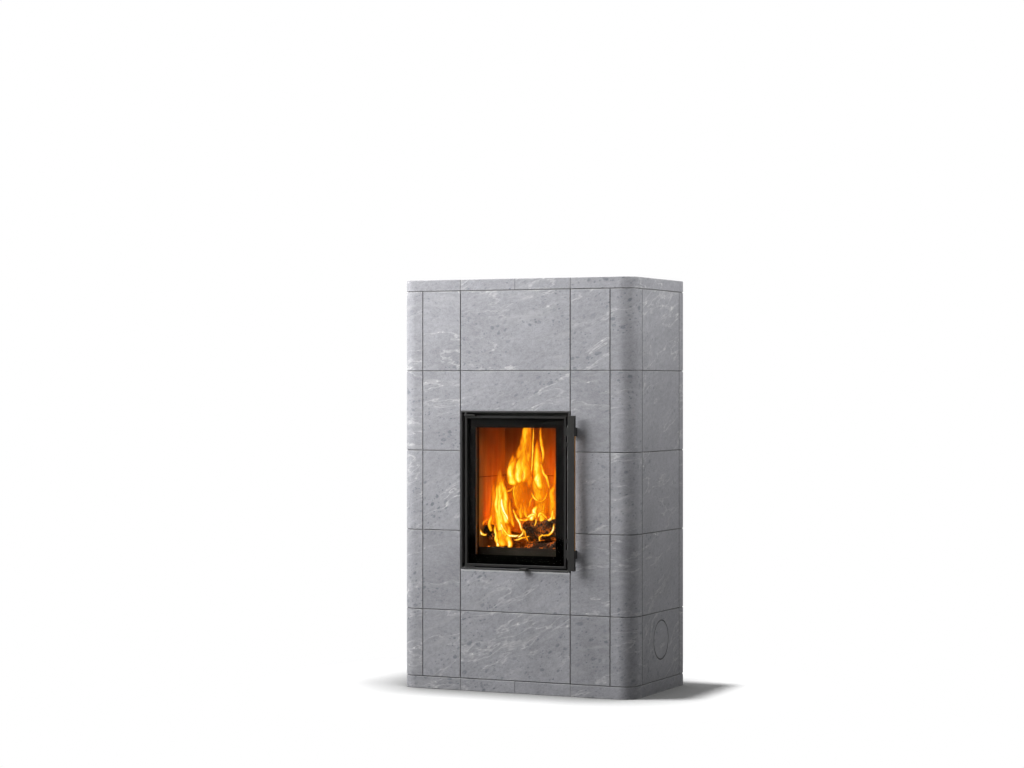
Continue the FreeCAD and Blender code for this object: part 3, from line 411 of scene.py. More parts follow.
def soapstone(node, seed, axis, dip, split=0.0, veins=0.0, fibre=1.0):
    finish, tree, shader, place = new_finish("soapstone_" + node)
    lie = {"Place": place, "Seed": seed, "Split": split, "Axis": axis, "Dip": math.radians(dip)}
    block = put(tree, "ShaderNodeGroup", {**lie, "Veins": veins, "Fibre": fibre}, node_tree=figure)
    wear = edge_mask(tree, place, node, 0.0045, block.outputs["Bed"])
    colour = mixed(tree, times(tree, wear, 0.28), block.outputs["Color"], grey(0.58))
    # painted shade: the stone is darkened along its inner joints and round the clean-out plugs, where the
    # grooves lie in shade
    colour = mixed(tree, joint_painted_shade(tree, place, node, split), colour, grey(0.06))
    # painted highlight: the sill's top edge below the door is painted pale, as if its arris caught the light
    if node == "sill_stone":
        below_top = calc(tree, "SUBTRACT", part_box(node)[1].z, xyz(tree, place)[2])
        sill_painted_highlight = step(tree, below_top, 0.003, 0.007, 0.65, 0.0)
        colour = mixed(tree, sill_painted_highlight, colour, grey(0.78))
    give(tree, shader, {"Base Color": colour, "Roughness": block.outputs["Roughness"]})
    relief(tree, shader, block.outputs["Height"], strength=0.18, depth=0.0012)
    give(tree, shader, {"Specular IOR Level": 0.3})
    dress(node, finish)


across = (0, 1, 0)
along_side = (1, 0, 0)
front_dip = 13
side_dip = -27
few_veins = 0.03
more_veins = 0.09
side_veins = 0.10
side_fibre = 0.5
for seed, node in enumerate(
    ["narrow_stones_left", "narrow_stones_right", "base_front_stone", "sill_stone", "lintel_stone",
     "top_front_stone", "corner_stones_left", "corner_stones_right", "plinth_slab_left", "plinth_slab_right",
     "cap_slab_left", "cap_slab_right", "back_flue_stone", "back_stones_left", "back_stones_middle",
     "back_stones_right"],
):
    veins = more_veins if node == "top_front_stone" else few_veins
    soapstone(node, seed + 1, across, front_dip, veins=veins)
for seed, node in enumerate(["plinth_slabs_middle", "cap_slabs_middle"]):
    soapstone(node, seed + 31, across, front_dip, split=1.0)
for seed, node in enumerate(
    ["side_stones_right", "clean_out_stone_right", "clean_out_plug_right",
     "side_stones_left", "clean_out_stone_left", "clean_out_plug_left"],
):
    soapstone(node, seed + 51, along_side, side_dip, veins=side_veins, fibre=side_fibre)

# Joint mortar: grey stone mortar pressed into the open edge of every joint and raked back from the face. It
# is laid as a flat ring on each bed, cut out where the door stands, and as a strip in each upright joint.
casing_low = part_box("plinth_slab_left")[0]
casing_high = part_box("plinth_slab_right")[1]
corner_radius = 0.048
mortar_rake = 0.0025
mortar_depth = 0.006
mortar_thickness = 0.0024


def start(name, primitive, **sizes):
    """Adds a primitive with nothing else selected and opens it in edit mode."""
    bpy.ops.object.select_all(action="DESELECT")
    primitive(**sizes)
    piece = bpy.context.object
    piece.name = name
    bpy.ops.object.mode_set(mode="EDIT")
    return piece


def pick(kind, wanted):
    """Selects the vertices, edges or faces of the open piece that are wanted, and nothing else."""
    bpy.ops.mesh.select_mode(type=kind)
    bpy.ops.mesh.select_all(action="DESELECT")
    shape = bmesh.from_edit_mesh(bpy.context.object.data)
    for element in {"VERT": shape.verts, "EDGE": shape.edges, "FACE": shape.faces}[kind]:
        if wanted(element):
            element.select_set(True)
    bmesh.update_edit_mesh(bpy.context.object.data)


def joined(pieces, name):
    """Makes one piece of several."""
    bpy.ops.object.select_all(action="DESELECT")
    for piece in pieces:
        piece.select_set(True)
    bpy.context.view_layer.objects.active = pieces[0]
    bpy.ops.object.join()
    bpy.context.object.name = name
    return bpy.context.object


def place_of(element):
    return sum((v.co for v in element.verts), Vector()) / len(element.verts)


def close(piece, finish, body, smooth=None):
    """Leaves edit mode, puts the piece's place into its mesh and hands it to its body."""
    if bpy.context.object.mode == "EDIT":
        bpy.ops.object.mode_set(mode="OBJECT")
    bpy.ops.object.select_all(action="DESELECT")
    piece.select_set(True)
    bpy.context.view_layer.objects.active = piece
    bpy.ops.object.transform_apply(location=True, rotation=True, scale=True)
    if smooth:
        bpy.ops.object.shade_smooth_by_angle(angle=math.radians(smooth))
    piece.data.materials.clear()
    piece.data.materials.append(finish)
    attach(piece, body)


mortar_pieces = []
door_low, door_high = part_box("door_frame")
for level in bed_levels:
    ring = start("mortar_bed", bpy.ops.mesh.primitive_plane_add, size=2)
    half_width = casing_high.x - mortar_rake
    half_depth = casing_high.y - mortar_rake
    bpy.ops.transform.resize(value=(half_width, half_depth, 1))
    bpy.ops.transform.translate(value=(0, 0, level - mortar_thickness / 2))
    pick("VERT", lambda v: v.co.y < 0)
    bpy.ops.mesh.bevel(affect="VERTICES", offset=corner_radius - mortar_rake, segments=12)
    pick("FACE", lambda f: True)
    bpy.ops.mesh.inset(thickness=mortar_depth)
    bpy.ops.mesh.delete(type="FACE")
    pick("FACE", lambda f: True)
    bpy.ops.mesh.extrude_region_move(TRANSFORM_OT_translate={"value": (0, 0, mortar_thickness)})
    if door_low.z < level < door_high.z:
        for cut in (door_low.x, door_high.x):
            pick("FACE", lambda f: True)
            bpy.ops.mesh.bisect(plane_co=(cut, 0, 0), plane_no=(1, 0, 0))
        pick("FACE", lambda f: abs(place_of(f).x) < door_high.x and place_of(f).y < 0)
        bpy.ops.mesh.delete(type="FACE")
        pick("EDGE", lambda e: e.is_boundary)
        bpy.ops.mesh.fill_holes(sides=4)
    pick("FACE", lambda f: True)
    bpy.ops.mesh.normals_make_consistent(inside=False)
    bpy.ops.object.mode_set(mode="OBJECT")
    mortar_pieces.append(ring)

strip_back = mortar_rake + mortar_depth / 2
narrow_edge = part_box("narrow_stones_right")[1].x
column_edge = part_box("narrow_stones_right")[0].x
side_front, side_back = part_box("side_stones_right")
back_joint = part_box("back_stones_right")[0].x
front_line = casing_low.y + strip_back
back_line = casing_high.y - strip_back
side_line = casing_high.x - strip_back
full_joints = [
    (narrow_edge, front_line), (back_joint, back_line), (side_line, side_front.y), (side_line, side_back.y)
]
uprights = []
for bottom, top in zip(bed_levels, bed_levels[1:]):
    for sign in (-1, 1):
        for x, y in full_joints:
            uprights.append((sign * x, y, bottom, top))
        for low, high in ((bottom, min(top, door_low.z)), (max(bottom, door_high.z), top)):
            if high > low:
                uprights.append((sign * column_edge, front_line, low, high))
for x, y, bottom, top in uprights:
    strip = start("mortar_strip", bpy.ops.mesh.primitive_cube_add, size=1)
    on_side = abs(x) > narrow_edge + mortar_depth
    width, depth = (mortar_depth, mortar_thickness) if on_side else (mortar_thickness, mortar_depth)
    bpy.ops.transform.resize(value=(width, depth, top - bottom - 2 * mortar_thickness))
    bpy.ops.transform.translate(value=(x, y, (top + bottom) / 2))
    bpy.ops.mesh.bevel(affect="EDGES", offset=0.0003, segments=1)
    bpy.ops.object.mode_set(mode="OBJECT")
    mortar_pieces.append(strip)
mortar = joined(mortar_pieces, "joint_mortar")
mortar_finish, tree, shader, place = new_finish("joint_mortar")
sandy = step(tree, cloud(tree, place, 900.0, 3.0, 0.7), 0.25, 0.75)
give(tree, shader, {"Base Color": mixed(tree, sandy, grey(0.20), grey(0.34))})
relief(tree, shader, sandy, strength=0.4, depth=0.0006)
give(tree, shader, {"Roughness": 0.9, "Specular IOR Level": 0.2})
close(mortar, mortar_finish, "heater")

# Core: blocks of the same stone left rough from the saw, which store the heat round the smoke channels. They
# stand on the foundation block and carry the roof slabs; the marks of the saw run across each block.
for seed, node in enumerate(
    ["foundation_block", "ash_chamber_walls", "storage_stones_right", "storage_stones_left", "roof_slabs"]
):
    finish, tree, shader, place = new_finish("sawn_" + node)
    lie = {"Place": place, "Seed": 61 + seed, "Axis": across, "Dip": math.radians(front_dip), "Fibre": 1.0}
    block = put(tree, "ShaderNodeGroup", lie, node_tree=figure)
    saw_marks = cloud(tree, place, (30, 30, 900), 3.0, 0.6)
    soot = step(tree, cloud(tree, place, (9, 9, 4), 4.0, 0.6), 0.40, 0.72, 0.0, 0.7)
    sawn = mixed(tree, step(tree, saw_marks, 0.45, 0.7, 0.0, 0.35), block.outputs["Color"], grey(0.24))
    give(tree, shader, {"Base Color": mixed(tree, soot, sawn, grey(0.06, (1, 0.95, 0.88)))})
    relief(tree, shader, saw_marks, strength=0.5, depth=0.002)
    give(tree, shader, {"Roughness": 0.85, "Specular IOR Level": 0.25})
    dress(node, finish)

# Insulation: stiff boards pressed from golden mica flakes, sawn to size. One lies loose on the roof slabs
# under the cap, the others stand against the back wall.
for node in ("top_insulation_board", "rear_insulation_boards"):
    finish, tree, shader, place = new_finish("mica_board_" + node)
    flakes = {"Vector": scaled(tree, place, (1, 1, 1.6)), "Scale": 330.0}
    mica = put(tree, "ShaderNodeTexVoronoi", flakes).outputs
    glint = put(tree, "ShaderNodeSeparateColor", {0: mica["Color"]}).outputs
    board = mixed(tree, glint[0], (0.44, 0.36, 0.25, 1), (0.72, 0.66, 0.55, 1))
    board = mixed(tree, step(tree, glint[1], 0.86, 0.92), board, (0.24, 0.17, 0.10, 1))
    give(tree, shader, {"Base Color": board, "Roughness": step(tree, glint[2], 0.0, 1.0, 0.55, 0.95)})
    relief(tree, shader, mica["Distance"], strength=0.7, depth=0.0012)
    dress(node, finish)

# Firebox lining: dense fire-facing soapstone, burnt warm brown by the fire, with upright tongues of soot and
# rust red and a thin dark joint where the two courses of blocks meet.
lining_joint = 0.673
soot_top = 0.90
for seed, node in enumerate(
    ["hearth_stones", "firebox_side_stones_right", "firebox_side_stones_left",
     "firebox_back_stones", "firebox_lintel"],
):
    finish, tree, shader, place = new_finish("burnt_" + node)
    height = xyz(tree, place)[2]
    shifted = vector(tree, "ADD", place, (seed * 3.1, 0, 0))
    burnt = step(tree, cloud(tree, shifted, (24, 24, 3.2), 5.0, 0.6), 0.30, 0.70)
    lining = mixed(tree, burnt, (0.27, 0.17, 0.07, 1), (0.48, 0.36, 0.14, 1))
    rust = step(tree, cloud(tree, shifted, (38, 38, 2.4), 4.0, 0.6), 0.50, 0.70, 0.0, 0.65)
    lining = mixed(tree, rust, lining, (0.30, 0.09, 0.03, 1))
    speckle = step(tree, cloud(tree, shifted, 260.0, 3.0, 0.7), 0.45, 0.72, 0.0, 0.35)
    lining = mixed(tree, speckle, lining, (0.12, 0.09, 0.07, 1))
    smoke = cloud(tree, shifted, (14, 14, 5), 4.0, 0.6)
    risen = linear(tree, calc(tree, "SUBTRACT", smoke, 0.5), 0.30, height)
    soot = step(tree, risen, 0.62, soot_top, 0.10, 0.88)
    lining = mixed(tree, soot, lining, (0.060, 0.036, 0.018, 1))
    seam = step(tree, apart(tree, height, lining_joint), 0.0007, 0.0018, 0.9, 0.0)
    lining = mixed(tree, seam, lining, (0.020, 0.014, 0.012, 1))
    give(tree, shader, {"Base Color": lining})
    pits = linear(tree, burnt, 0.4, times(tree, speckle, -1.2))
    relief(tree, shader, pits, strength=0.5, depth=0.0015)
    give(tree, shader, {"Roughness": 0.88, "Specular IOR Level": 0.2})
    dress(node, finish)

# Grate: a raw iron casting that lies loose in the hearth, rough from the sand mould, grey with ash on top
# and blue-brown from the heat.
finish, tree, shader, place = new_finish("raw_iron_grate")
sand = cloud(tree, place, 620.0, 4.0, 0.7)
tarnish = step(tree, cloud(tree, place, 45.0, 4.0, 0.6), 0.35, 0.68)
iron = mixed(tree, tarnish, (0.050, 0.046, 0.046, 1), (0.085, 0.060, 0.045, 1))
ash = step(tree, cloud(tree, place, 130.0, 4.0, 0.65), 0.52, 0.72, 0.0, 0.6)
iron = mixed(tree, ash, iron, (0.34, 0.32, 0.30, 1))
iron = mixed(tree, edge_mask(tree, place, "grate", 0.003), iron, (0.16, 0.15, 0.14, 1))
give(tree, shader, {"Base Color": iron, "Roughness": step(tree, sand, 0.2, 0.8, 0.55, 0.9)})
relief(tree, shader, sand, strength=0.6, depth=0.0010)
give(tree, shader, {"Metallic": 0.35})
dress("grate", finish)

# Paint for the metalwork, shared by every painted piece: a thin sprayed coat with a fine orange-peel skin,
# a little dust in the hollows of its tone and bare metal where edges rub.
sprayed, given, result = new_group(
    "sprayed_coat",
    {"Place": "Vector", "Tint": "Color", "Bare": "Color", "Wear": "Float", "Matt": "Float"},
    {"Color": "Color", "Roughness": "Float", "Height": "Float"},
)
tree = sprayed
peel = cloud(tree, given["Place"], 1500.0, 2.0, 0.5)
patch = step(tree, cloud(tree, given["Place"], (22, 22, 9), 4.0, 0.6), 0.30, 0.72)
film = mixed(tree, patch, given["Tint"], mixed(tree, 1.0, given["Tint"], grey(1.35), "MULTIPLY"))
specks = step(tree, cloud(tree, given["Place"], 2200.0, 2.0, 0.6), 0.66, 0.74, 0.0, 0.25)
film = mixed(tree, specks, film, given["Bare"])
tree.links.new(mixed(tree, given["Wear"], film, given["Bare"]), result["Color"])
satin = linear(tree, patch, 0.10, given["Matt"])
tree.links.new(linear(tree, given["Wear"], -0.15, satin), result["Roughness"])
tree.links.new(peel, result["Height"])


def painted(node, tint, bare, matt=0.5, rubbed=0.35, width=0.0022, specular=0.2):
    finish, tree, shader, place = new_finish("painted_" + node)
    wear = times(tree, edge_mask(tree, place, node, width), rubbed)
    film = {"Place": place, "Tint": tint, "Bare": bare, "Matt": matt, "Wear": wear}
    coat = put(tree, "ShaderNodeGroup", film, node_tree=sprayed)
    give(tree, shader, {"Base Color": coat.outputs["Color"], "Roughness": coat.outputs["Roughness"]})
    relief(tree, shader, coat.outputs["Height"], strength=0.12, depth=0.0003)
    give(tree, shader, {"Specular IOR Level": specular})
    dress(node, finish)
    return tree, place, coat


# Sheet steel inside the fire: ash box, log guard, throat and slide guides, folded from plain sheet and burnt
# brown by the first fires.
burnt_sheet = (0.028, 0.023, 0.018, 1)
burnt_edge = (0.12, 0.10, 0.08, 1)
for node in ("ash_box", "log_guard", "air_slide_guides"):
    painted(node, burnt_sheet, burnt_edge, matt=0.65, rubbed=0.25, specular=0.1)
throat_soot = (0.012, 0.009, 0.007, 1)
throat_edge = (0.03, 0.026, 0.022, 1)
painted("throat_sleeve", throat_soot, throat_edge, matt=0.75, rubbed=0.25, specular=0.05)

# Door frame, hinge straps, handle bar with its brackets, air slide and flue collar: welded steel under matt
# black heatproof paint, a warm dark grey in the light.
black_paint = (0.024, 0.0235, 0.0225, 1)
black_edge = (0.10, 0.098, 0.095, 1)
for node in ("hinge_straps", "handle_brackets", "handle_bar", "air_slide", "flue_collar"):
    painted(node, black_paint, black_edge, specular=0.15)
frame_paint = (0.040, 0.039, 0.038, 1)
frame_edge = (0.09, 0.088, 0.085, 1)
tree, place, coat = painted("door_frame", frame_paint, frame_edge)
where = xyz(tree, place)
# painted light: the recess behind the flange and above the ledge is painted a lighter grey, where it lies in
# shade
behind_flange = step(tree, calc(tree, "SUBTRACT", where[1], door_low.y), 0.002, 0.006)
over_ledge = step(tree, calc(tree, "SUBTRACT", where[2], door_low.z), 0.014, 0.022)
recess_painted_light = times(tree, behind_flange, over_ledge)
give(tree, coat, {"Tint": mixed(tree, recess_painted_light, grey(0.052), grey(0.170, (1, 0.98, 0.95)))})

# Door leaf: a cast frame with a narrow raised rim round the glass, in the same paint but with a softer
# sheen, so that the rim shows as a thin pale line.
glass_low, glass_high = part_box("door_glass")
leaf_paint = grey(0.019, (1, 0.98, 0.95))
leaf_edge = grey(0.070, (1, 0.98, 0.95))
tree, place, coat = painted(
    "door_leaf", leaf_paint, leaf_edge, matt=0.45, rubbed=0.30, width=0.0026, specular=0.13
)
sooted = step(tree, xyz(tree, place)[1], glass_high.y, glass_high.y + 0.003)
give(tree, coat, {
    "Tint": mixed(tree, sooted, leaf_paint, grey(0.009, (1, 0.75, 0.6))),
    "Bare": mixed(tree, sooted, leaf_edge, grey(0.015, (1, 0.8, 0.65))),
})

# Pins, wear plates, latch shaft, cams and screws: plain turned or cold-drawn steel, brushed along its length
# and slightly browned by the heat.
for node in (
    "latch_wear_plates", "latch_shaft", "latch_cams", "handle_screws", "flue_collar_screws", "hinge_pins",
):
    finish, tree, shader, place = new_finish("plain_steel_" + node)
    drawn = cloud(tree, place, (1600, 1600, 60), 3.0, 0.6)
    browned = step(tree, cloud(tree, place, 60.0, 3.0, 0.6), 0.40, 0.75)
    metal = mixed(tree, step(tree, drawn, 0.3, 0.7), grey(0.36, (1, 0.98, 0.95)), grey(0.50))
    blued = 1.0 if node == "hinge_pins" else 0.5
    oxide = linear(tree, browned, 0.15, blued - 0.15)
    metal = mixed(tree, oxide, metal, grey(0.09 - 0.07 * blued))
    give(tree, shader, {"Base Color": metal, "Roughness": step(tree, drawn, 0.2, 0.8, 0.28, 0.5)})
    relief(tree, shader, drawn, strength=0.15, depth=0.0002)
    give(tree, shader, {"Metallic": 1.0})
    dress(node, finish)

# Door glass: a flat pane of clear ceramic glass bonded into the leaf from the front, with a faint haze left
# by wiping.
finish, tree, shader, place = new_finish("clear_ceramic_glass")
wiped = cloud(tree, place, (9, 9, 26), 4.0, 0.6, 1.5)
give(tree, shader, {
    "Roughness": step(tree, wiped, 0.40, 0.80, 0.0, 0.05),
    "Base Color": (0.985, 0.975, 0.955, 1),
    "Transmission Weight": 1.0,
    "IOR": 1.05,
})
dress("door_glass", finish)

# Printed border: black enamel fired onto the back of the glass, which hides the bond. It leaves a clear
# window that sits a little high in the pane; along the foot it is painted near black, a painted shade that
# stands in for the weaker reflection in the glass there.
window_left = -0.1440
window_right = 0.1350
window_bottom = 0.431
window_top = 0.832
print_gap = 0.0001
print_thickness = 0.0001
painted_shade_foot = window_bottom + 0.045
painted_shade_fade = 0.023


def flat_ring(name, outer, inner, front_y, thickness):
    """A flat upright frame; outer and inner are (left, right, bottom, top)."""
    piece = start(name, bpy.ops.mesh.primitive_plane_add, size=2, rotation=(math.radians(90), 0, 0))
    bpy.ops.object.mode_set(mode="OBJECT")
    bpy.ops.object.transform_apply(location=True, rotation=True, scale=True)
    bpy.ops.object.mode_set(mode="EDIT")
    left, right, bottom, top = outer
    bpy.ops.transform.resize(value=((right - left) / 2, 1, (top - bottom) / 2))
    bpy.ops.transform.translate(value=((left + right) / 2, front_y, (top + bottom) / 2))
    first_inset = 0.01
    bpy.ops.mesh.inset(thickness=first_inset)
    start_width = right - left - 2 * first_inset
    start_height = top - bottom - 2 * first_inset
    start_x, start_z = (left + right) / 2, (bottom + top) / 2
    left, right, bottom, top = inner
    pick("FACE", lambda f: abs(place_of(f).x - start_x) < 0.02 and abs(place_of(f).z - start_z) < 0.02)
    bpy.ops.transform.resize(value=((right - left) / start_width, 1, (top - bottom) / start_height))
    bpy.ops.transform.translate(value=((left + right) / 2 - start_x, 0, (bottom + top) / 2 - start_z))
    bpy.ops.mesh.delete(type="FACE")
    pick("FACE", lambda f: True)
    bpy.ops.mesh.extrude_region_move(TRANSFORM_OT_translate={"value": (0, thickness, 0)})
    pick("FACE", lambda f: True)
    bpy.ops.mesh.normals_make_consistent(inside=False)
    return piece


pane = (glass_low.x, glass_high.x, glass_low.z, glass_high.z)
window = (window_left, window_right, window_bottom, window_top)
enamel = flat_ring("glass_border_print", pane, window, glass_high.y + print_gap, print_thickness)
finish, tree, shader, place = new_finish("black_enamel")
kiln = cloud(tree, place, 700.0, 3.0, 0.6)
print_tone = mixed(tree, kiln, grey(0.0140), grey(0.0205))
# painted shade: below this height the enamel is painted near black, in place of the glass's weaker
# reflection
over_foot = step(tree, xyz(tree, place)[2], painted_shade_foot, painted_shade_foot + painted_shade_fade)
print_tone = mixed(tree, over_foot, grey(0.0002), print_tone)
give(tree, shader, {
    "Base Color": print_tone,
    "Roughness": step(tree, kiln, 0.2, 0.8, 0.35, 0.5),
    "Specular IOR Level": 0.0,
})
close(enamel, finish, "door")

# Glass tape: a flat ribbon woven from dark glass fibre yarn. It is stuck round the leaf's rebate and beds
# the pane, so that glass and metal can grow at their own rates.
tape_low, tape_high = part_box("glass_tape")
tape_width = 0.012
tape_gap = 0.00025
tape_thickness = 0.0002
weave_pitch = 5200.0
tape_outer = (tape_low.x, tape_high.x, tape_low.z, tape_high.z)
tape_inner = (
    tape_low.x + tape_width, tape_high.x - tape_width, tape_low.z + tape_width, tape_high.z - tape_width
)
tape = flat_ring("glass_fibre_tape", tape_outer, tape_inner, glass_high.y + tape_gap, tape_thickness)
finish, tree, shader, place = new_finish("woven_tape")
where = xyz(tree, place)
warp = calc(tree, "SINE", times(tree, where[0], weave_pitch))
weft = calc(tree, "SINE", times(tree, where[2], weave_pitch))
weave = linear(tree, times(tree, warp, weft), 0.5, 0.5)
give(tree, shader, {"Base Color": mixed(tree, weave, grey(0.025), grey(0.075))})
relief(tree, shader, weave, strength=0.6, depth=0.0003)
give(tree, shader, {"Roughness": 0.85})
close(tape, finish, "door")
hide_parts("glass_tape")

# Rope seal: three strands of glass fibre laid up into a rope and pressed into the back of the leaf, where it
# meets the frame's sealing plate all round.
rope_low, rope_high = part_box("rope_seal")
strand_radius = 0.0021
strand_orbit = 0.0022
rope_turns = 78
points_per_turn = 10
rope_corner = 0.011
rope_radius = 0.005
rope_side = rope_high.x - rope_radius
rope_bottom = rope_low.z + rope_radius
rope_top = rope_high.z - rope_radius
rope_depth = (rope_low.y + rope_high.y) / 2
straight_x = 2 * (rope_side - rope_corner)
straight_z = rope_top - rope_bottom - 2 * rope_corner
arc = rope_corner * math.pi / 2


def rope_line(distance):
    """The rope's middle line, walked anticlockwise from the middle of the bottom run: place and heading."""
    legs = [straight_x / 2, arc, straight_z, arc, straight_x, arc, straight_z, arc, straight_x / 2]
    corner_x = rope_side - rope_corner
    low_z = rope_bottom + rope_corner
    high_z = rope_top - rope_corner
    corners = [(corner_x, low_z), (corner_x, high_z), (-corner_x, high_z), (-corner_x, low_z)]
    heading = 0.0
    x, z = 0.0, rope_bottom
    for number, leg in enumerate(legs):
        walked = min(distance, leg)
        if number % 2 == 0:
            x, z = x + walked * math.cos(heading), z + walked * math.sin(heading)
        else:
            centre = corners[number // 2]
            turned = heading + walked / rope_corner
            x, z = centre[0] + rope_corner * math.sin(turned), centre[1] - rope_corner * math.cos(turned)
            heading = turned
        distance -= walked
        if distance <= 0:
            break
    return x, z, heading


rope_length = 2 * straight_x + 2 * straight_z + 4 * arc
strands = []
for strand in range(3):
    strand_curve = bpy.data.curves.new("rope_strand", "CURVE")
    strand_curve.dimensions = "3D"
    strand_curve.bevel_depth = strand_radius
    strand_curve.bevel_resolution = 2
    strand_curve.resolution_u = 1
    line = strand_curve.splines.new("POLY")
    count = rope_turns * points_per_turn
    line.points.add(count - 1)
    for i in range(count):
        x, z, heading = rope_line(rope_length * i / count)
        lay = 2 * math.pi * (i / points_per_turn + strand / 3)
        out = strand_orbit * math.cos(lay)
        y = rope_depth + strand_orbit * math.sin(lay)
        line.points[i].co = (x + out * math.sin(heading), y, z - out * math.cos(heading), 1)
    line.use_cyclic_u = True
    holder = bpy.data.objects.new("rope_strand", strand_curve)
    scene.collection.objects.link(holder)
    strands.append(holder)
bpy.ops.object.select_all(action="DESELECT")
for holder in strands:
    holder.select_set(True)
bpy.context.view_layer.objects.active = strands[0]
bpy.ops.object.convert(target="MESH")
rope = joined(strands, "rope_seal_strands")
finish, tree, shader, place = new_finish("glass_fibre_rope")
fibres = cloud(tree, place, (700, 2400, 700), 3.0, 0.65)
sooted = step(tree, cloud(tree, place, 35.0, 4.0, 0.6), 0.38, 0.70)
yarn = mixed(tree, step(tree, fibres, 0.3, 0.7), grey(0.40, (1, 0.97, 0.92)), grey(0.66, (1, 0.98, 0.94)))
yarn = mixed(tree, times(tree, sooted, 0.65), yarn, grey(0.12, (1, 0.95, 0.88)))
give(tree, shader, {"Base Color": yarn})
relief(tree, shader, fibres, strength=0.5, depth=0.0004)
give(tree, shader, {"Roughness": 0.92, "Specular IOR Level": 0.2})
close(rope, finish, "door", 60)
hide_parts("rope_seal")

# Handle grip: an oiled hardwood rail let into the back of the handle bar, its grain running up the bar, worn
# smooth and a little darker where the hand takes it.
finish, tree, shader, place = new_finish("oiled_hardwood")
rings = cloud(tree, place, (95, 95, 3.5), 4.0, 0.55, 0.6)
bands = linear(tree, calc(tree, "SINE", times(tree, rings, 42.0)), 0.5, 0.5)
pores = step(tree, cloud(tree, place, (2200, 2200, 70), 2.0, 0.6), 0.58, 0.70)
wood = mixed(tree, bands, (0.50, 0.22, 0.055, 1), (0.78, 0.42, 0.13, 1))
wood = mixed(tree, times(tree, pores, 0.55), wood, (0.16, 0.06, 0.02, 1))
handled = step(tree, cloud(tree, place, (20, 20, 7), 3.0, 0.5), 0.40, 0.70, 0.0, 0.3)
wood = mixed(tree, handled, wood, (0.24, 0.10, 0.035, 1))
give(tree, shader, {"Base Color": wood, "Roughness": step(tree, bands, 0.0, 1.0, 0.52, 0.38)})
relief(tree, shader, calc(tree, "SUBTRACT", bands, pores), strength=0.25, depth=0.0003)
dress("handle_grip", finish)

# Fire wood: split logs burnt to charcoal, stacked loosely on the grate. The char has opened in a net of
# cracks that still glow low down, and grey ash lies in patches on it.
fire_draw = random.Random(23)
log_sides = 36
log_cuts = 44
end_rings = 4
logs = []


def split_log(near_end, far_end, radius, split_turn):
    near_end, far_end = Vector(near_end), Vector(far_end)
    log_length = (far_end - near_end).length
    cylinder = {"vertices": log_sides, "radius": radius, "depth": log_length}
    log = start("log", bpy.ops.mesh.primitive_cylinder_add, **cylinder)
    pick("EDGE", lambda e: abs(e.verts[0].co.z - e.verts[1].co.z) > log_length / 2)
    bpy.ops.mesh.subdivide(number_cuts=log_cuts)
    for ring in range(end_rings):
        pick("FACE", lambda f: len(f.verts) == log_sides)
        bpy.ops.mesh.inset(thickness=radius * 0.22)
    pick("FACE", lambda f: len(f.verts) == log_sides)
    bpy.ops.mesh.poke()
    bpy.ops.object.mode_set(mode="OBJECT")
    shift = fire_draw.uniform(0, 50)
    split_x, split_y = math.cos(split_turn), math.sin(split_turn)
    for vertex in log.data.vertices:
        x, y, z = vertex.co
        turn = math.atan2(y, x)
        lumps = noise.noise(Vector((x * 25 + shift, y * 25, z * 14)))
        ridges = noise.noise(Vector((math.cos(turn) * 7 + shift, math.sin(turn) * 7, z * 30)))
        checks = abs(noise.noise(Vector((turn * 5 + shift, z * 95, x * 40))))
        swell = 1 + 0.16 * lumps + 0.07 * ridges - 0.10 * checks
        x, y = x * swell, y * swell
        proud = x * split_x + y * split_y - 0.35 * radius
        if proud > 0:
            fibre_relief = 0.10 * radius * noise.noise(Vector((x * 220, y * 220 + shift, z * 22)))
            x -= (proud * 0.92 + fibre_relief) * split_x
            y -= (proud * 0.92 + fibre_relief) * split_y
        end = z
        if abs(end) > log_length / 2 - 1e-5:
            z -= 0.06 * radius * math.copysign(1, z)
            z += 0.10 * radius * noise.noise(Vector((x * 190 + shift, y * 190, end)))
        vertex.co = (x, y, z)
    log.location = (near_end + far_end) / 2
    log.rotation_euler = (far_end - near_end).to_track_quat("Z", "Y").to_euler()
    logs.append(log)


split_log((0.138, -0.100, 0.516), (-0.016, -0.070, 0.502), radius=0.038, split_turn=2.2)
split_log((0.142, -0.112, 0.448), (-0.004, -0.116, 0.436), radius=0.026, split_turn=4.4)
split_log((-0.136, -0.122, 0.494), (-0.096, 0.020, 0.458), radius=0.028, split_turn=5.2)
split_log((-0.140, -0.104, 0.440), (-0.028, -0.112, 0.432), radius=0.024, split_turn=1.3)
split_log((-0.110, -0.030, 0.448), (0.112, -0.022, 0.456), radius=0.032, split_turn=0.6)
split_log((0.010, -0.010, 0.500), (0.100, -0.055, 0.545), radius=0.022, split_turn=3.4)
wood_stack = joined(logs, "burning_logs")
finish, tree, shader, place = new_finish("charred_wood")
net = put(
    tree, "ShaderNodeTexVoronoi", {"Vector": place, "Scale": 105.0}, feature="DISTANCE_TO_EDGE"
).outputs["Distance"]
crack = step(tree, net, 0.015, 0.11, 1.0, 0.0)
charring = cloud(tree, place, 160.0, 5.0, 0.65)
char = mixed(tree, step(tree, charring, 0.35, 0.7), (0.010, 0.008, 0.007, 1), (0.060, 0.044, 0.032, 1))
ash = step(tree, cloud(tree, place, 55.0, 4.0, 0.65), 0.55, 0.72, 0.0, 0.55)
char = mixed(tree, ash, char, (0.34, 0.31, 0.28, 1))
char = mixed(tree, crack, char, (0.006, 0.004, 0.003, 1))
give(tree, shader, {"Base Color": char})
low_down = step(tree, xyz(tree, place)[2], 0.44, 0.53, 1.0, 0.25)
alight = step(tree, cloud(tree, place, 32.0, 3.0, 0.6), 0.46, 0.66)
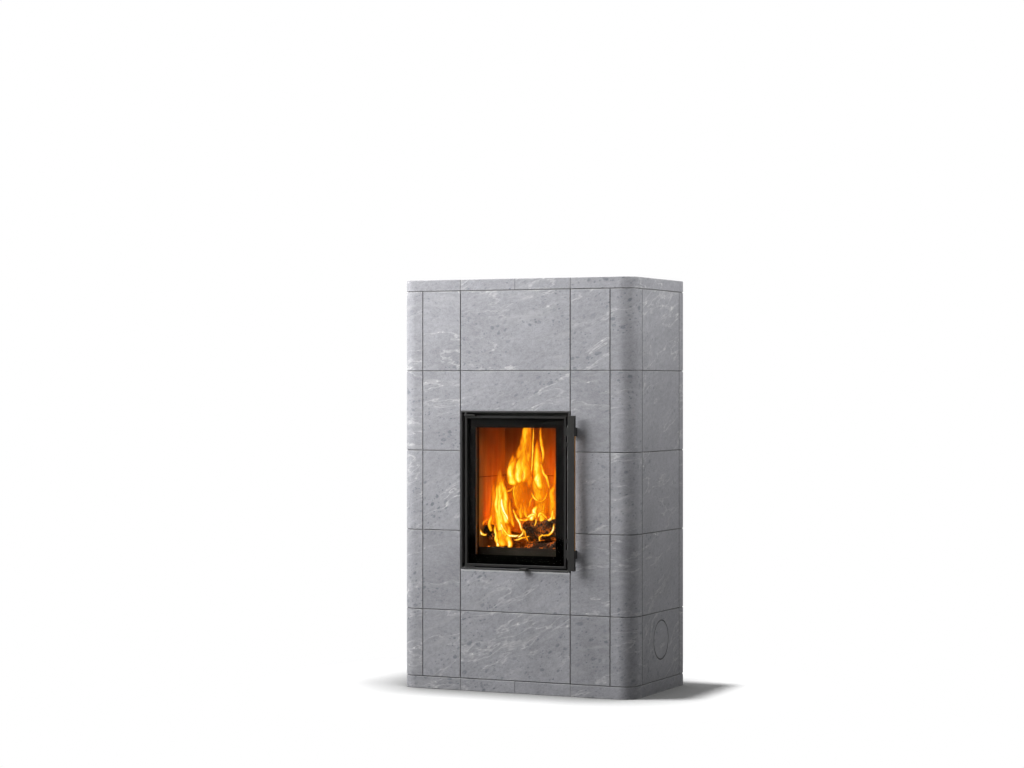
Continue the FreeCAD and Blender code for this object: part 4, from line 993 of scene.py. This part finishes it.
ember_glow = times(tree, crack, low_down, alight)
give(tree, shader, {
    "Emission Color": mixed(tree, ember_glow, (0, 0, 0, 1), (1.0, 0.20, 0.012, 1)),
    "Emission Strength": 1.6,
    "Roughness": 0.9,
    "Specular IOR Level": 0.2,
})
relief(tree, shader, calc(tree, "SUBTRACT", charring, crack), strength=0.8, depth=0.0025)
close(wood_stack, finish, "heater", 40)

# Ember bed: broken pieces of glowing charcoal heaped on the grate among grey ash, each piece a rough lump
# with flat broken sides.
lump = start("ember", bpy.ops.mesh.primitive_ico_sphere_add, subdivisions=2, radius=1)
bpy.ops.transform.vertex_random(offset=0.22, seed=5)
bpy.ops.object.mode_set(mode="OBJECT")
embers = []
ember_count = 130
grate_top = 0.409
bed_half_width = 0.132
bed_front = -0.122
bed_back = 0.024
heap_height = 0.026
heap_half_width = 0.15
heap_middle = -0.05
heap_half_depth = 0.10
for number in range(ember_count):
    chip = lump.copy()
    chip.data = lump.data.copy()
    scene.collection.objects.link(chip)
    x = fire_draw.uniform(-bed_half_width, bed_half_width)
    y = fire_draw.uniform(bed_front, bed_back)
    fall = (1 - (x / heap_half_width) ** 2) * (1 - ((y - heap_middle) / heap_half_depth) ** 2)
    heap = heap_height * fall
    size = fire_draw.uniform(0.0055, 0.0125)
    chip.location = (x, y, grate_top + size + max(0.0, heap) * fire_draw.uniform(0.2, 1.0))
    chip.scale = (size * fire_draw.uniform(0.8, 1.4), size, size * fire_draw.uniform(0.6, 0.9))
    lean_x = fire_draw.uniform(-0.5, 0.5)
    lean_y = fire_draw.uniform(-0.5, 0.5)
    chip.rotation_euler = (lean_x, lean_y, fire_draw.uniform(0, 6.3))
    embers.append(chip)
bpy.data.objects.remove(lump)
ember_bed = joined(embers, "ember_bed")
finish, tree, shader, place = new_finish("glowing_charcoal")
crust = cloud(tree, place, 240.0, 4.0, 0.65)
coal = mixed(tree, step(tree, crust, 0.40, 0.68), (0.012, 0.009, 0.008, 1), (0.30, 0.26, 0.23, 1))
give(tree, shader, {"Base Color": coal})
fanned = step(tree, cloud(tree, place, 70.0, 4.0, 0.6), 0.42, 0.66)
hot = times(tree, fanned, step(tree, crust, 0.62, 0.35))
heat_colour = mixed(tree, hot, (0.20, 0.008, 0.0, 1), (1.0, 0.26, 0.02, 1))
heat_colour = mixed(tree, step(tree, hot, 0.0, 0.25), (0, 0, 0, 1), heat_colour)
give(tree, shader, {"Emission Color": heat_colour, "Emission Strength": 1.6, "Roughness": 0.9})
relief(tree, shader, crust, strength=0.6, depth=0.0015)
close(ember_bed, finish, "heater")

# Flames: burning gas that rises from the logs in tongues, with thin bright ribbons curling round the wood.
# Each is a thin sheet bowed towards the door, bright in the middle and fading to nothing at its edges.
flames = []


def pulled(a, b, c, d, t):
    """A place on the smooth line from a to d that b and c pull at."""
    s = 1 - t
    shares = (s ** 3, 3 * s * s * t, 3 * s * t * t, t ** 3)
    return [sum(share * spot[i] for share, spot in zip(shares, (a, b, c, d))) for i in range(2)]


def behind_window(depth, across, up):
    """The x and z of a place in the fire, told by where it shows in the window: per cent across and up."""
    x = window_left + (window_right - window_left) * across / 100
    z = window_bottom + (window_top - window_bottom) * up / 100
    eye = camera.location
    beyond = (depth - eye.y) / (glass_high.y - eye.y)
    return eye.x + (x - eye.x) * beyond, eye.z + (z - eye.z) * beyond


def flame(depth, line, width, vigour, ribbon=False, turn=0.0):
    """line is four places in the window from the root to the tip; width is in millimetres."""
    line = [behind_window(depth, *spot) for spot in line]
    width = width / 1000
    sheet = start("flame", bpy.ops.mesh.primitive_grid_add, x_subdivisions=10, y_subdivisions=40, size=2)
    bpy.ops.object.mode_set(mode="OBJECT")
    shift = fire_draw.uniform(0, 50)
    for vertex in sheet.data.vertices:
        u = (vertex.co.x + 1) / 2
        v = (vertex.co.y + 1) / 2
        x, z = pulled(*line, v)
        ahead = pulled(*line, min(1.0, v + 0.01))
        behind = pulled(*line, max(0.0, v - 0.01))
        rise = Vector((ahead[0] - behind[0], ahead[1] - behind[1])).normalized()
        if ribbon:
            spread = math.sin(math.pi * min(max(v, 0.02), 0.98)) ** 0.5
        else:
            spread = (0.45 + 0.55 * min(1.0, v / 0.3)) * max(0.03, 1 - v) ** 0.55
        sway = 0.25 * width * noise.noise(Vector((v * 3.2, shift, 0.0))) * min(1.0, v * 2)
        offset = (u - 0.5) * width * spread + sway
        bow = 0.30 * width * spread * (1 - (2 * u - 1) ** 2)
        drift = 0.008 * noise.noise(Vector((v * 2.0, 0.0, shift)))
        vertex.co = (
            x + rise.y * offset * math.cos(turn),
            depth - bow + drift + offset * math.sin(turn),
            z - rise.x * offset,
        )
    for name, amount in (("vigour", vigour), ("fades_from", 0.85 if ribbon else 0.68)):
        for point in sheet.data.attributes.new(name, "FLOAT", "POINT").data:
            point.value = amount
    flames.append(sheet)


def curl(depth, line, width, vigour):
    flame(depth, line, width, vigour, ribbon=True)


# the tall flame on the left with its bright heart, and the low flames round its foot
flame(-0.098, [(37, 6), (35, 22), (36, 46), (32, 76)], 88, 1.12)
flame(-0.108, [(43, 22), (37, 34), (39, 48), (35, 67)], 56, 1.40)
flame(-0.106, [(32, 27), (26, 38), (27, 48), (30, 64)], 34, 1.15)
flame(-0.094, [(50, 20), (45, 31), (43, 38), (42, 49)], 32, 0.80, turn=0.3)
flame(-0.114, [(25, 13), (16, 21), (20, 27), (22, 35)], 34, 1.15, turn=-0.2)
flame(-0.118, [(29, 5), (28, 11), (27, 17), (24, 28)], 36, 1.35)
flame(-0.118, [(43, 5), (46, 11), (42, 16), (38, 28)], 42, 1.50)
flame(-0.112, [(37, 6), (36, 11), (36, 15), (35, 24)], 76, 0.90)
# the lobe and the broad column in the middle
flame(-0.090, [(58, 57), (41, 58), (44, 67), (54, 82)], 66, 1.26)
flame(-0.092, [(60, 57), (52, 60), (55, 68), (60, 84)], 64, 1.22)
flame(-0.082, [(50, 55), (47, 63), (47, 70), (50, 84)], 70, 0.85, turn=0.3)
flame(-0.078, [(63, 55), (60, 68), (66, 84), (66, 130)], 84, 1.0)
flame(-0.070, [(69, 50), (66, 66), (69, 84), (69, 122)], 60, 0.80, turn=-0.3)
# the forked flame on the right with its tails
flame(-0.090, [(85, 50), (75, 61), (81, 74), (75, 96)], 62, 1.25)
flame(-0.072, [(80, 38), (79, 54), (84, 68), (79, 92)], 88, 0.78)
flame(-0.084, [(98, 26), (101, 40), (94, 54), (99, 80)], 56, 0.72, turn=0.2)
# small flames along the top of the right log
flame(-0.104, [(74, 27), (69, 31), (76, 34), (77, 43)], 46, 1.50)
flame(-0.104, [(84, 26), (81, 30), (83, 32), (85, 39)], 38, 1.50)
flame(-0.108, [(97, 19), (99, 26), (94, 31), (98, 41)], 32, 1.25)
flame(-0.098, [(58, 28), (55, 33), (58, 37), (56, 45)], 24, 0.95)
flame(-0.096, [(64, 29), (66, 33), (61, 37), (61, 44)], 28, 0.85)
# ribbons that curl round the logs and through the gaps
curl(-0.146, [(32, 27), (37, 18), (46, 11), (57, 17)], 13, 1.80)
curl(-0.122, [(52, 14), (60, 15), (61, 18), (58, 22)], 10, 1.35)
curl(-0.140, [(46, 38), (50, 31), (60, 23), (58, 18)], 13, 1.60)
curl(-0.120, [(48, 12), (55, 12), (60, 14), (70, 16)], 9, 1.10)
curl(-0.134, [(7, 25), (4, 17), (9, 14), (16, 16)], 14, 1.50)
curl(-0.118, [(7, 18), (8, 24), (13, 28), (18, 28)], 12, 0.80)
curl(-0.100, [(39, 49), (43, 51), (47, 51), (49, 54)], 11, 0.85)
curl(-0.100, [(51, 57), (45, 48), (50, 41), (57, 34)], 12, 1.10)
curl(-0.094, [(61, 62), (62, 73), (59, 82), (60, 92)], 14, 1.20)
curl(-0.090, [(70, 62), (72, 75), (73, 86), (73, 104)], 10, 1.10)
curl(-0.096, [(93, 51), (91, 60), (85, 64), (81, 74)], 14, 1.15)
curl(-0.080, [(83, 70), (86, 82), (80, 88), (83, 104)], 17, 0.95)
curl(-0.098, [(70, 52), (73, 41), (88, 38), (90, 53)], 12, 1.05)
curl(-0.098, [(86, 43), (85, 38), (87, 34), (86, 29)], 8, 1.15)
curl(-0.090, [(68, 36), (68, 44), (73, 47), (77, 51)], 12, 0.80)
curl(-0.106, [(49, 29), (58, 27), (67, 28), (74, 31)], 12, 1.20)
curl(-0.146, [(98, 27), (98, 18), (92, 16), (82, 16)], 11, 1.40)
curl(-0.120, [(81, 11), (79, 15), (81, 17), (86, 16)], 10, 1.45)
curl(-0.120, [(61, 21), (63, 17), (65, 14), (66, 11)], 10, 0.90)
curl(-0.116, [(76, 30), (76, 27), (75, 25), (74, 23)], 7, 1.15)
# wide faint veils behind them
flame(-0.050, [(63, 27), (62, 42), (64, 56), (61, 80)], 150, 0.52)
flame(-0.044, [(84, 27), (86, 44), (80, 60), (84, 88)], 120, 0.52, turn=0.2)
flame(-0.040, [(30, 12), (29, 28), (27, 44), (29, 70)], 120, 0.55, turn=-0.2)
# the white-hot streak in the left flame, and the scalloped edge of the fire along the right log
curl(-0.146, [(34, 46), (34, 39), (36, 33), (42, 25)], 15, 1.80)
curl(-0.122, [(63, 30), (70, 30), (73, 37), (78, 28)], 14, 1.60)
curl(-0.124, [(78, 29), (80, 35), (87, 35), (90, 28)], 15, 1.60)
curl(-0.126, [(89, 29), (94, 27), (96, 31), (97, 38)], 16, 1.60)
fire = joined(flames, "flames")
thickness = fire.modifiers.new("thickness", "SOLIDIFY")
thickness.thickness = 0.0004
thickness.offset = 0
bpy.ops.object.modifier_apply(modifier="thickness")
finish, tree, shader, place = new_finish("flame")
sheet_map = put(tree, "ShaderNodeUVMap", uv_map="UVMap").outputs[0]
over = xyz(tree, sheet_map)
vigour = put(tree, "ShaderNodeAttribute", attribute_name="vigour").outputs["Fac"]
lick = calc(tree, "SUBTRACT", cloud(tree, place, (27, 27, 13), 2.5, 0.5, 0.6), 0.5)
lean = times(tree, lick, linear(tree, over[1], 0.8, 0.25))
middle = linear(tree, calc(tree, "ADD", over[0], lean), 2.0, -1.0)
body = step(tree, calc(tree, "ABSOLUTE", middle), 0.0, 0.96, 1.0, 0.0)
thread = cloud(tree, place, (95, 95, 15), 2.5, 0.55, 1.0)
thread = step(tree, apart(tree, thread, 0.5), 0.0, 0.10, 1.0, 0.0)
torn = step(tree, cloud(tree, place, (26, 26, 13), 2.5, 0.55, 0.5), 0.34, 0.62, 0.58, 1.0)
fades_from = put(tree, "ShaderNodeAttribute", attribute_name="fades_from").outputs["Fac"]
root = step(tree, over[1], 0.0, 0.17)
tip = step(tree, over[1], fades_from, 1.0, 1.0, 0.0)
gas = times(tree, body, torn, root, tip)
heat = times(tree, gas, linear(tree, thread, 0.24, 0.82), vigour)
heat = times(tree, heat, linear(tree, over[1], -0.35, 1.08))
glow = mixed(tree, step(tree, heat, 0.02, 0.32), (0.40, 0.035, 0.001, 1), (0.80, 0.19, 0.003, 1))
glow = mixed(tree, step(tree, heat, 0.30, 0.78), glow, (1.0, 0.52, 0.012, 1))
glow = mixed(tree, step(tree, heat, 0.68, 0.98), glow, (1.0, 0.80, 0.085, 1))
glow = mixed(tree, step(tree, heat, 1.02, 1.34), glow, (1.0, 0.95, 0.60, 1))
give(tree, shader, {
    "Emission Color": glow,
    "Alpha": step(tree, heat, 0.02, 0.60, 0.0, 0.9),
    "Emission Strength": 1.2,
    "Base Color": (0, 0, 0, 1),
    "Roughness": 1.0,
    "Specular IOR Level": 0.0,
})
finish.cycles.emission_sampling = "NONE"
close(fire, finish, "heater", 60)

# Firelight: the warm light that the flames throw on the lining, the logs and the inside of the door. One
# lamp stands low between the logs and one in the tall flames; neither shows itself in the glass.
for name, place, power in (
    ("fire_low", (-0.04, -0.085, 0.535), 1.7),
    ("fire_high", (-0.01, -0.07, 0.70), 1.25),
):
    firelight = bpy.data.lights.new(name, "POINT")
    firelight.energy = power
    firelight.color = (1.0, 0.16, 0.004)
    firelight.shadow_soft_size = 0.04
    firelight_holder = bpy.data.objects.new(name, firelight)
    firelight_holder.location = place
    firelight_holder.visible_camera = False
    firelight_holder.visible_transmission = False
    scene.collection.objects.link(firelight_holder)
